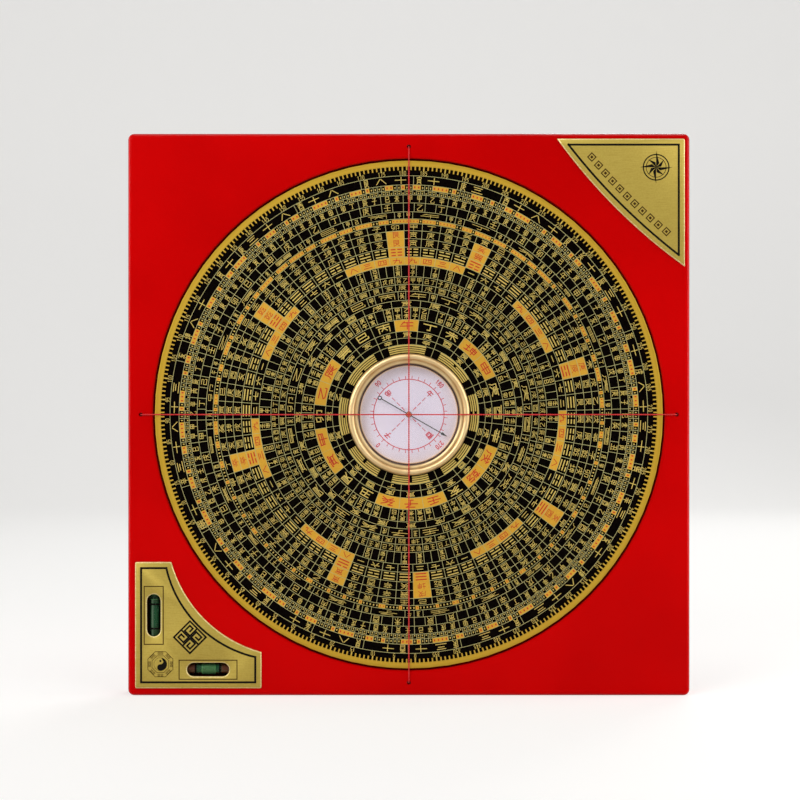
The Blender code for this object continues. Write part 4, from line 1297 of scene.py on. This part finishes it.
class DRESS_OT_needle(Maker, bpy.types.Operator):
    """Makes the needle and the cap that it hangs on"""
    bl_idname = "luopan.needle"
    bl_label = "Needle and cap"

    def make(self, scene):
        compass = scene.luopan_compass
        low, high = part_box("needle")
        centre = Vector((DIAL_FACE.x, (low.y + high.y) / 2, DIAL_FACE.z))
        turn = math.atan2(centre.z - low.z, high.x - centre.x)
        place = Matrix.Translation(centre) @ Matrix.Rotation(turn, 4, "Y")
        blue = plated_steel("blued_steel", compass.needle, 0.22)
        shape = needle_blade(Vector((high.x - centre.x, centre.z - low.z)).length,
                             (high.y - low.y) / 2)
        as_piece("needle_blade", moved(shape, place), blue, "needle", ["needle"])
        low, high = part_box("needle_cap")
        radius = half_width("needle_cap")
        bore = radius - 0.35 * MM
        dome = low.y + radius
        outline = (arc((0, dome), (radius, -radius), math.pi / 2, 0, 8)
                   + [(radius, high.y), (bore, high.y), (bore, dome)]
                   + arc((0, dome), (bore, -bore), 0, math.pi / 2, 8))
        outline = [(max(r, 0.0), min(d, high.y)) for r, d in outline]
        copper = plain_finish("cap_copper", compass.cap, 0.3, 900.0, metallic=0.25)
        as_piece("needle_bell", turned(outline, 32), copper, "needle", ["needle_cap"])


def needle_blade(reach, half_depth):
    """A slim blade along the first axis: an arrow head, a hub round the cap and a ring."""
    half = 0.24 * MM
    neck = reach - 3.6 * MM
    barb, barb_half = neck + 0.5 * MM, 0.75 * MM
    hub, bore = 1.55 * MM, 1.3 * MM
    ring, hole = 1.15 * MM, 0.62 * MM
    tail = reach - 4.4 * MM
    overlap = 0.1 * MM
    arm = hub - overlap
    stem = -tail + 2 * ring - overlap
    shape = bmesh.new()
    for points in (((arm, -half), (neck, -half), (neck, half), (arm, half)),
                   ((neck, -half), (barb, -barb_half), (reach, 0), (barb, barb_half),
                    (neck, half)),
                   ((stem, -half), (-arm, -half), (-arm, half), (stem, half))):
        shape.faces.new([shape.verts.new((x, -half_depth, z)) for x, z in points])
    for along, outer, inner in ((0, hub, bore), (ring - tail, ring, hole)):
        ends = [shape.verts.new((along + r, -half_depth, 0)) for r in (inner, outer)]
        edge = shape.edges.new(ends)
        bmesh.ops.spin(shape, geom=ends + [edge], cent=(along, 0, 0), axis=(0, 1, 0),
                       angle=math.tau, steps=32, use_merge=True)
    bmesh.ops.remove_doubles(shape, verts=shape.verts, dist=0.001 * MM)
    return extruded(shape, shape.faces[:], (0, 2 * half_depth, 0))


class DRESS_OT_threads(Maker, bpy.types.Operator):
    """Twists the two crossed threads and ties their knots"""
    bl_idname = "luopan.threads"
    bl_label = "Threads and knots"

    def make(self, scene):
        thread = scene.luopan_thread
        fibre = thread_fibre(thread)
        for name, side, outward, ends in (
                ("thread_upright", -1, Vector((0, 0, 1)), ("top", "bottom")),
                ("thread_level", 1, Vector((1, 0, 0)), ("right", "left"))):
            route = thread_route(thread, side, middle(f"thread_knot_{ends[0]}"))
            plies = [twisted(route, outward, thread, ply * math.pi) for ply in (0, 1)]
            mesh = tube_mesh(name, plies, thread.ply, False)
            mesh_piece(f"{name}_twisted", mesh, fibre, "base", [name])
            for end in ends:
                node = f"thread_knot_{end}"
                path = knot_path(middle(node), half_width(node) - thread.radius)
                mesh = tube_mesh(node, [path], thread.radius, True)
                mesh_piece(f"{node}_tied", mesh, fibre, "base", [node])


def thread_route(thread, side, knot):
    """(reach, depth) points of a thread from one knot over the dial and bezel to the other."""
    reach = (Vector((knot.x, knot.z)) - Vector((DIAL_FACE.x, DIAL_FACE.z))).length
    over_dial = DIAL_FACE.y - thread.clearance - thread.radius
    over_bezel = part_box("compass_bezel")[0].y - thread.clearance - thread.radius
    crest, flat = half_width("compass_bezel") - 1.7 * MM, 0.85 * MM
    in_knot, crossing, apart = 0.8 * MM, 1.5 * MM, 0.45 * MM
    half = [(reach, knot.y - in_knot)]
    half += arc((reach - thread.bend, over_dial + thread.bend), (thread.bend, -thread.bend),
                0, math.pi / 2, 6)
    half += [(crest + flat, over_bezel), (crest - flat, over_bezel),
             (crossing, over_bezel + side * apart)]
    return [Vector(p) for p in half] + [Vector((-r, d)) for r, d in reversed(half)]


def twisted(route, outward, thread, phase):
    """Points of one ply that winds round a route."""
    spacing = thread.pitch / 8
    across = outward.cross(Vector((0, 1, 0)))
    points = []
    travelled = 0.0
    for start, end in zip(route, route[1:]):
        along = (end - start).normalized()
        side = Vector((-along.y, along.x))
        steps = max(1, round((end - start).length / spacing))
        for i in range(steps):
            spot = start.lerp(end, i / steps)
            turn = phase + math.tau * (travelled + (end - start).length * i / steps) / thread.pitch
            spot = spot + side * math.cos(turn) * thread.radius / 2
            points.append(DIAL_AXIS + outward * spot.x + Vector((0, spot.y, 0))
                          + across * math.sin(turn) * thread.radius / 2)
        travelled += (end - start).length
    return points


def knot_path(centre, reach):
    """A simple overhand knot, pulled small."""
    scale = reach / 3
    turns = [math.tau * i / 60 for i in range(60)]
    return [centre + Vector((math.sin(t) + 2 * math.sin(2 * t), -math.sin(3 * t) * 0.9,
                             math.cos(t) - 2 * math.cos(2 * t))) * scale for t in turns]


def tube_mesh(name, paths, radius, closed):
    """Round tubes along paths, as one mesh."""
    curve = bpy.data.curves.new(name, "CURVE")
    curve.dimensions = "3D"
    curve.bevel_depth = radius
    curve.bevel_resolution = 1
    curve.use_fill_caps = True
    for path in paths:
        spline = curve.splines.new("POLY")
        spline.points.add(len(path) - 1)
        spline.use_cyclic_u = closed
        for point, spot in zip(spline.points, path):
            point.co = (*spot, 1)
    carrier = bpy.data.objects.new(name + "_path", curve)
    mesh = bpy.data.meshes.new_from_object(carrier)
    bpy.data.objects.remove(carrier)
    mesh.shade_smooth()
    return mesh


class DRESS_OT_plates(Maker, bpy.types.Operator):
    """Bevels the two corner plates and prints their borders and ornaments"""
    bl_idname = "luopan.plates"
    bl_label = "Corner plates"

    def make(self, scene):
        plate = scene.luopan_plate
        brass = brushed_brass("brushed_brass", plate.brass, plate.brass_shade)
        # The bevel's finish: polished brass, lightened as a painted highlight along the plate's
        # edge
        polished_and_highlight = brushed_brass("polished_edge", plate.brass_edge, plate.brass)
        for node in ("corner_plate_upper", "corner_plate_lower"):
            as_piece(f"{node}_bevelled", bevelled_copy(node, plate.edge), (brass, polished_and_highlight),
                     "base", [node])
        black = Print(FLAT_RISE)
        brown = Print(FLAT_RISE)
        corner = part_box("corner_plate_lower")[0]
        face = corner.y
        for points in (upper_border(plate), lower_border(plate)):
            black.line([*points, points[0]], plate.border, on_plate(Vector((0, face, 0))))
        self.vial_frames(brown, face)
        eight_signs(brown, black, corner + Vector((12.9, 0, 12.3)) * MM)
        fretwork(black, corner + Vector((27.9, 0, 26.0)) * MM)
        high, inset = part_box("corner_plate_upper")[1], 14.6 * MM
        direction_star(black, Vector((high.x - inset, face, high.z - inset)))
        lozenges(brown, plate)
        for ink, name, shade in ((black, "black", plate.black), (brown, "brown", plate.brown)):
            finish = plain_finish(f"plate_{name}", shade, 0.6, 900.0, specular_ior_level=0.1)
            ink.piece(f"plate_print_{name}", finish, "base", "black_print", 0.06 * MM)

    def vial_frames(self, ink, face):
        """A thin frame round each window."""
        long, short = 29.4 * MM, 9.65 * MM
        for node, width, height in (("vial_tube_upright", short, long),
                                    ("vial_tube_level", long, short)):
            centre = middle(node)
            centre.y = face
            corners = [(x * width / 2, z * height / 2)
                       for x, z in ((-1, -1), (1, -1), (1, 1), (-1, 1), (-1, -1))]
            ink.line(corners, 0.5 * MM, on_plate(centre))


def bevelled_copy(node, edge):
    """A copy of a flat CAD plate with its front edges bevelled."""
    shape = bmesh.new()
    shape.from_mesh(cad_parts[node].data)
    bmesh.ops.remove_doubles(shape, verts=shape.verts, dist=0.002 * MM)
    bmesh.ops.dissolve_limit(shape, angle_limit=math.radians(1), verts=shape.verts,
                             edges=shape.edges)
    front = min(v.co.y for v in shape.verts)
    rim = [e for e in shape.edges
           if all(v.co.y - front < 0.01 * MM for v in e.verts)
           and len(e.link_faces) == 2
           and e.link_faces[0].normal.dot(e.link_faces[1].normal) < 0.5]
    bevel = bmesh.ops.bevel(shape, geom=rim, offset=edge, segments=2, affect="EDGES",
                            profile=0.5, material=-1)
    # The bevel takes the second finish, the polished edge with its painted highlight
    for face in bevel["faces"]:
        face.material_index = 1
    return shape


def bowed(start, end, bulge, steps=24):
    """Points of an arc between two ends that stands off its chord by the bulge, ends left out."""
    chord = end - start
    side = Vector((-chord.y, chord.x)).normalized()
    radius = (chord.length ** 2 / 4 + bulge ** 2) / (2 * abs(bulge))
    half = math.asin(chord.length / 2 / radius)
    points = []
    for i in range(1, steps):
        turn = half * (2 * i / steps - 1)
        along = 0.5 + math.sin(turn) * radius / chord.length
        rise = radius * (math.cos(turn) - math.cos(half)) * math.copysign(1, bulge)
        points.append(start + chord * along + side * rise)
    return points


def upper_border(plate):
    low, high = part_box("corner_plate_upper")
    start = Vector((low.x + plate.tip, high.z - plate.inset))
    end = Vector((high.x - plate.inset, low.z + plate.tip))
    return [start] + bowed(start, end, -plate.bulge) + [end, Vector((high.x, high.z))
                                                        - Vector((1, 1)) * plate.inset]


def lower_border(plate):
    low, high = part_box("corner_plate_lower")
    inset = plate.inset
    short = plate.short_side - inset * 0.8
    start = Vector((high.x - inset, low.z + short))
    end = Vector((low.x + short, high.z - inset))
    return ([start] + bowed(start, end, plate.hollow)
            + [end, Vector((low.x + inset, high.z - inset)),
               Vector((low.x + inset, low.z + inset)),
               Vector((high.x - inset, low.z + inset))])


def eight_signs(brown, black, centre):
    """An octagon of trigrams round a disc of two halves."""
    turns = [math.tau * (i + 0.5) / 8 for i in range(9)]
    for radius in (6.9, 4.6):
        brown.line([Vector((math.sin(a), math.cos(a))) * radius * MM for a in turns],
                   0.26 * MM, on_plate(centre))
    for i, lines in enumerate(TRIGRAMS):
        for level, line in enumerate(lines):
            up = (6.15 - level * 0.55) * MM
            for start, end in bars(line == "1", 1.3 * MM, 0.25 * MM):
                brown.line([(start, up), (end, up)], 0.27 * MM,
                           on_plate(centre, math.tau * i / 8))
    two_halves(brown, black, centre, 3.3 * MM)


def two_halves(brown, black, centre, radius):
    """The dark half on the right, with a light eye below and a dark eye above left."""
    place = on_plate(centre)
    small = (radius / 2, radius / 2)
    outer = arc((0, 0), (radius, radius), math.pi / 2, -math.pi / 2, 24)
    lower = arc((0, -radius / 2), small, -math.pi / 2, -math.pi * 1.5, 12)
    upper = arc((0, radius / 2), small, -math.pi / 2, math.pi / 2, 12)
    half = black.patch(outer + lower[1:] + upper[1:-1], place, black.rise)
    bmesh.ops.triangulate(black.shape, faces=[half])
    black.disc(on_plate(centre + Vector((0, 0, radius / 2))), 0.55 * MM, 12)
    brown.line(arc((0, 0), (radius, radius), 0, math.tau, 36), 0.15 * MM, place)


def fretwork(ink, centre):
    """Four square spirals that make a diamond."""
    spiral = [(-1, -1), (-1, 1), (1, 1), (1, -1), (-0.4, -1), (-0.4, 0.4), (0.4, 0.4),
              (0.4, -0.35)]
    out, size = Vector((0, 0, 4.4)), 2.65 * MM
    for i in range(4):
        turn = math.tau * i / 4
        place = on_plate(centre + Matrix.Rotation(turn, 3, "Y") @ out * MM, turn + math.pi / 4)
        ink.line([Vector(p) * size for p in spiral], 0.9 * MM, place)


def direction_star(ink, centre):
    """A ring with an eight-pointed star, as on any chart."""
    for inner, outer in ((6.2, 6.8), (4.9, 5.2)):
        ink.band(centre, inner * MM, outer * MM, 0, math.tau, 48)
    for i in range(8):
        reach = (8.4 if i % 2 == 0 else 5.6) * MM
        ink.patch([(0, reach), (1.6 * MM, 2.1 * MM), (0, 0)], on_plate(centre, math.tau * i / 8),
                  ink.rise + 0.01 * MM * (i % 2))


def lozenges(ink, plate):
    """A row of small diamonds along the upper plate's bowed side."""
    low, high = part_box("corner_plate_upper")
    tip, inset, size = 14.4 * MM, 5.2 * MM, 2.1 * MM
    start = Vector((low.x + tip, high.z - inset))
    end = Vector((high.x - inset, low.z + tip))
    square = arc((0, 0), (size, size), math.pi / 2, -1.5 * math.pi, 4)
    for spot in bowed(start, end, -plate.bulge * 0.8, 12):
        place = on_plate(Vector((spot.x, low.y, spot.y)))
        ink.line(square, 0.55 * MM, place)
        ink.disc(place, 0.9 * MM, 4)


class DRESS_OT_vials(Maker, bpy.types.Operator):
    """Makes the two spirit vials: tube, marks, liquid, bubble and end plugs"""
    bl_idname = "luopan.vials"
    bl_label = "Spirit vials"

    def make(self, scene):
        vial = scene.luopan_vial
        rubber = plain_finish("plug_rubber", vial.rubber, 0.5, 600.0)
        mark = plain_finish("mark_black", scene.luopan_plate.black, 0.6, 400.0,
                            specular_ior_level=0.1)
        # The level liquid's sides: painted shade, brown with the red board's painted reflection
        brown = scaled(vial.spirit_brown, 0.4)
        for name, along, shade, sides, shift in (
                ("upright", 2, vial.bubble_upright, vial.spirit_shade, -0.8 * MM),
                ("level", 0, vial.bubble_level, brown, -0.4 * MM)):
            self.tube(name, along, vial, mark, shift)
            core = self.liquid(name, along, vial, sides)
            self.bubble(name, along, vial, shade, core)
            for end in ("start", "end"):
                paint(f"vial_plug_{name}_{end}", rubber)

    def tube(self, name, along, vial, mark, shift):
        """The tube, open for its plugs, and the two rings in it, which lie off its middle."""
        node = f"vial_tube_{name}"
        low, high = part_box(node)
        reach = max(high - low) / 2
        radius = min(high - low) / 2
        bore = radius - vial.wall
        edge = 0.25 * MM
        outline = [(bore, -reach), (radius - edge, -reach), (radius, -reach + edge),
                   (radius, reach - edge), (radius - edge, reach), (bore, reach)]
        place = lying(middle(node), along)
        glass = vial_glass(f"vial_glass_{name}", vial.spirit_shade, node, 2 - along)
        as_piece(f"{node}_clear", moved(lathe(outline, 48), place), glass, "base",
                 [node])
        half, inner, outer = vial.mark_width / 2, bore - 0.12 * MM, bore - 0.02 * MM
        ends = (("low", -1), ("high", 1)) if along == 0 else (("low", 1), ("high", -1))
        for label, side in ends:
            at = side * vial.mark + shift
            ring = [(inner, at - half), (outer, at - half), (outer, at + half),
                    (inner, at + half)]
            as_piece(f"{node}_mark_{label}", moved(lathe(ring, 48), place), mark, "base")

    def liquid(self, name, along, vial, sides):
        """The liquid as a bar with rounded ends. Gives back its middle."""
        node = f"vial_spirit_{name}"
        low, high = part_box(node)
        centre = middle(node)
        shape = capsule(max(high - low) / 2, vial.liquid, 0.5 * MM)
        spirit = spirit_green(f"spirit_{name}", vial, node, along, sides)
        as_piece(f"{node}_liquid", moved(shape, lying(centre, along)), spirit, "base",
                 [node])
        return centre

    def bubble(self, name, along, vial, shade, centre):
        """A short bar round the liquid's axis. The upright one lies at the top of its place."""
        node = f"vial_bubble_{name}"
        low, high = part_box(node)
        reach = (high - low)[along] / 2
        centre[along] = middle(node)[along]
        if name == "upright":
            centre[along] += reach - vial.bubble_upright_length / 2
            reach = vial.bubble_upright_length / 2
        shape = capsule(reach, vial.bubble_radius, vial.bubble_end)
        air = bubble_light(f"bubble_{name}", vial, centre, reach, along, shade)
        as_piece(f"{node}_round", moved(shape, lying(centre, along)), air, f"bubble_{name}",
                 [node])


def capsule(reach, radius, edge):
    """A round bar about the origin whose ends are rounded by the edge."""
    flat = radius - edge
    outline = [(0, -reach), *arc((flat, -reach + edge), (edge, edge), -math.pi / 2, 0, 8),
               *arc((flat, reach - edge), (edge, edge), 0, math.pi / 2, 8), (0, reach)]
    return lathe(outline, 32)


def lying(centre, along):
    """Puts what was turned about the depth axis along another one: 0 across and 2 up."""
    if along == 0:
        turn = Matrix.Rotation(-math.pi / 2, 4, "Z")
    else:
        turn = Matrix.Rotation(math.pi / 2, 4, "X")
    return Matrix.Translation(centre) @ turn


class DRESS_OT_stage(Maker, bpy.types.Operator):
    """Makes the floor, the soft lamps and the camera at the photograph's view"""
    bl_idname = "luopan.stage"
    bl_label = "Stage"

    def make(self, scene):
        stage = scene.luopan_stage
        self.backdrop(stage)
        self.world(scene)
        for row in LAMPS:
            lamp(*row)
        self.camera(scene, stage)
        scene.view_settings.view_transform = "Standard"

    def backdrop(self, stage):
        """A floor that sweeps up behind, in metres."""
        shape = bmesh.new()
        side, near, far, top, bend = 3.5, -2.6, 2.2, 3.4, 0.6
        sweep = arc((far - bend, bend), (bend, -bend), math.pi / 2, 0, 16)
        profile = [(near, 0.0), *sweep, (far, top)]
        points = [shape.verts.new((-side, y, z)) for y, z in profile]
        edges = [shape.edges.new(pair) for pair in zip(points, points[1:])]
        grown = bmesh.ops.extrude_edge_only(shape, edges=edges)
        ends = [item for item in grown["geom"] if isinstance(item, bmesh.types.BMVert)]
        bmesh.ops.translate(shape, verts=ends, vec=(2 * side, 0, 0))
        bmesh.ops.recalc_face_normals(shape, faces=shape.faces)
        if sum(face.normal.z for face in shape.faces) < 0:
            bmesh.ops.reverse_faces(shape, faces=shape.faces)
        mesh = bpy.data.meshes.new("floor")
        shape.to_mesh(mesh)
        shape.free()
        mesh.shade_smooth()
        mesh.materials.append(self.paper(stage))
        floor = bpy.data.objects.new("floor", mesh)
        bpy.context.scene.collection.objects.link(floor)

    def paper(self, stage):
        """Plain paper that the camera sees lit as well from behind, with its shadows kept."""
        finish = Finish("floor_paper", roughness=0.8, specular_ior_level=0.1,
                        emission_strength=1.0)
        dark, glow = scaled(stage.floor, 0.5), scaled(stage.floor, 0.64)
        finish.feed("Base Color", finish.blend(finish.seen(), stage.floor, dark))
        finish.feed("Emission Color", finish.blend(finish.seen((1.0, 0.15, 0.15)), (0, 0, 0),
                                                   glow))
        return finish.material

    def world(self, scene):
        """A dim white room that the camera, metal and glass see as pale as the floor."""
        world = bpy.data.worlds.new("studio")
        world.use_nodes = True
        studio = Tree(world.node_tree)
        ground = world.node_tree.nodes["Background"]
        ground.inputs["Color"].default_value = (1, 1, 1, 1)
        room_light = 0.12
        strength = studio.seen((0.6, 0.2, 0.16)) + room_light
        world.node_tree.links.new(strength.output, ground.inputs["Strength"])
        scene.world = world

    def camera(self, scene, stage):
        data = bpy.data.cameras.new("camera")
        data.lens = stage.lens
        camera = bpy.data.objects.new("camera", data)
        face = front_of("board")
        distance = stage.view * stage.lens / data.sensor_width
        camera.location = face + Vector((stage.aim_x, -distance, stage.aim_z))
        camera.rotation_euler = (math.pi / 2, 0, 0)
        scene.collection.objects.link(camera)
        scene.camera = camera


def lamp(name, place, size, power):
    """A soft rectangular lamp that looks at the board."""
    data = bpy.data.lights.new(name, "AREA")
    data.shape = "RECTANGLE"
    data.size, data.size_y = size
    data.energy = power
    made = bpy.data.objects.new(name, data)
    made.location = place
    made.rotation_euler = (DIAL_FACE - Vector(place)).to_track_quat("-Z", "Y").to_euler()
    bpy.context.scene.collection.objects.link(made)


OPERATORS = (
    DRESS_OT_stage, DRESS_OT_board, DRESS_OT_back, DRESS_OT_dial_rings, DRESS_OT_degrees,
    DRESS_OT_outer_signs, DRESS_OT_dotted_rings, DRESS_OT_columns, DRESS_OT_middle_signs,
    DRESS_OT_inner_signs, DRESS_OT_trigrams, DRESS_OT_bezel, DRESS_OT_card, DRESS_OT_needle,
    DRESS_OT_threads, DRESS_OT_plates, DRESS_OT_vials,
)


class DRESS_PT_compass(bpy.types.Panel):
    """Lists the steps that dress the compass"""
    bl_idname = "DRESS_PT_compass"
    bl_label = "Feng Shui Compass"
    bl_space_type = "VIEW_3D"
    bl_region_type = "UI"
    bl_category = "Compass"

    def draw(self, context):
        for step in OPERATORS:
            self.layout.operator(step.bl_idname)
        for name in SETTINGS:
            group = getattr(context.scene, name)
            box = self.layout.box()
            for label in group.bl_rna.properties.keys():
                if label not in {"rna_type", "name"}:
                    box.prop(group, label)


def register():
    for name, group in SETTINGS.items():
        bpy.utils.register_class(group)
        setattr(bpy.types.Scene, name, PointerProperty(type=group))
    for item in (*OPERATORS, DRESS_PT_compass):
        bpy.utils.register_class(item)


def unregister():
    for item in reversed((*OPERATORS, DRESS_PT_compass)):
        bpy.utils.unregister_class(item)
    for name, group in SETTINGS.items():
        delattr(bpy.types.Scene, name)
        bpy.utils.unregister_class(group)


def main():
    register()
    for step in OPERATORS:
        getattr(bpy.ops.luopan, step.bl_idname.split(".")[1])()


if __name__ == "__main__":
    main()
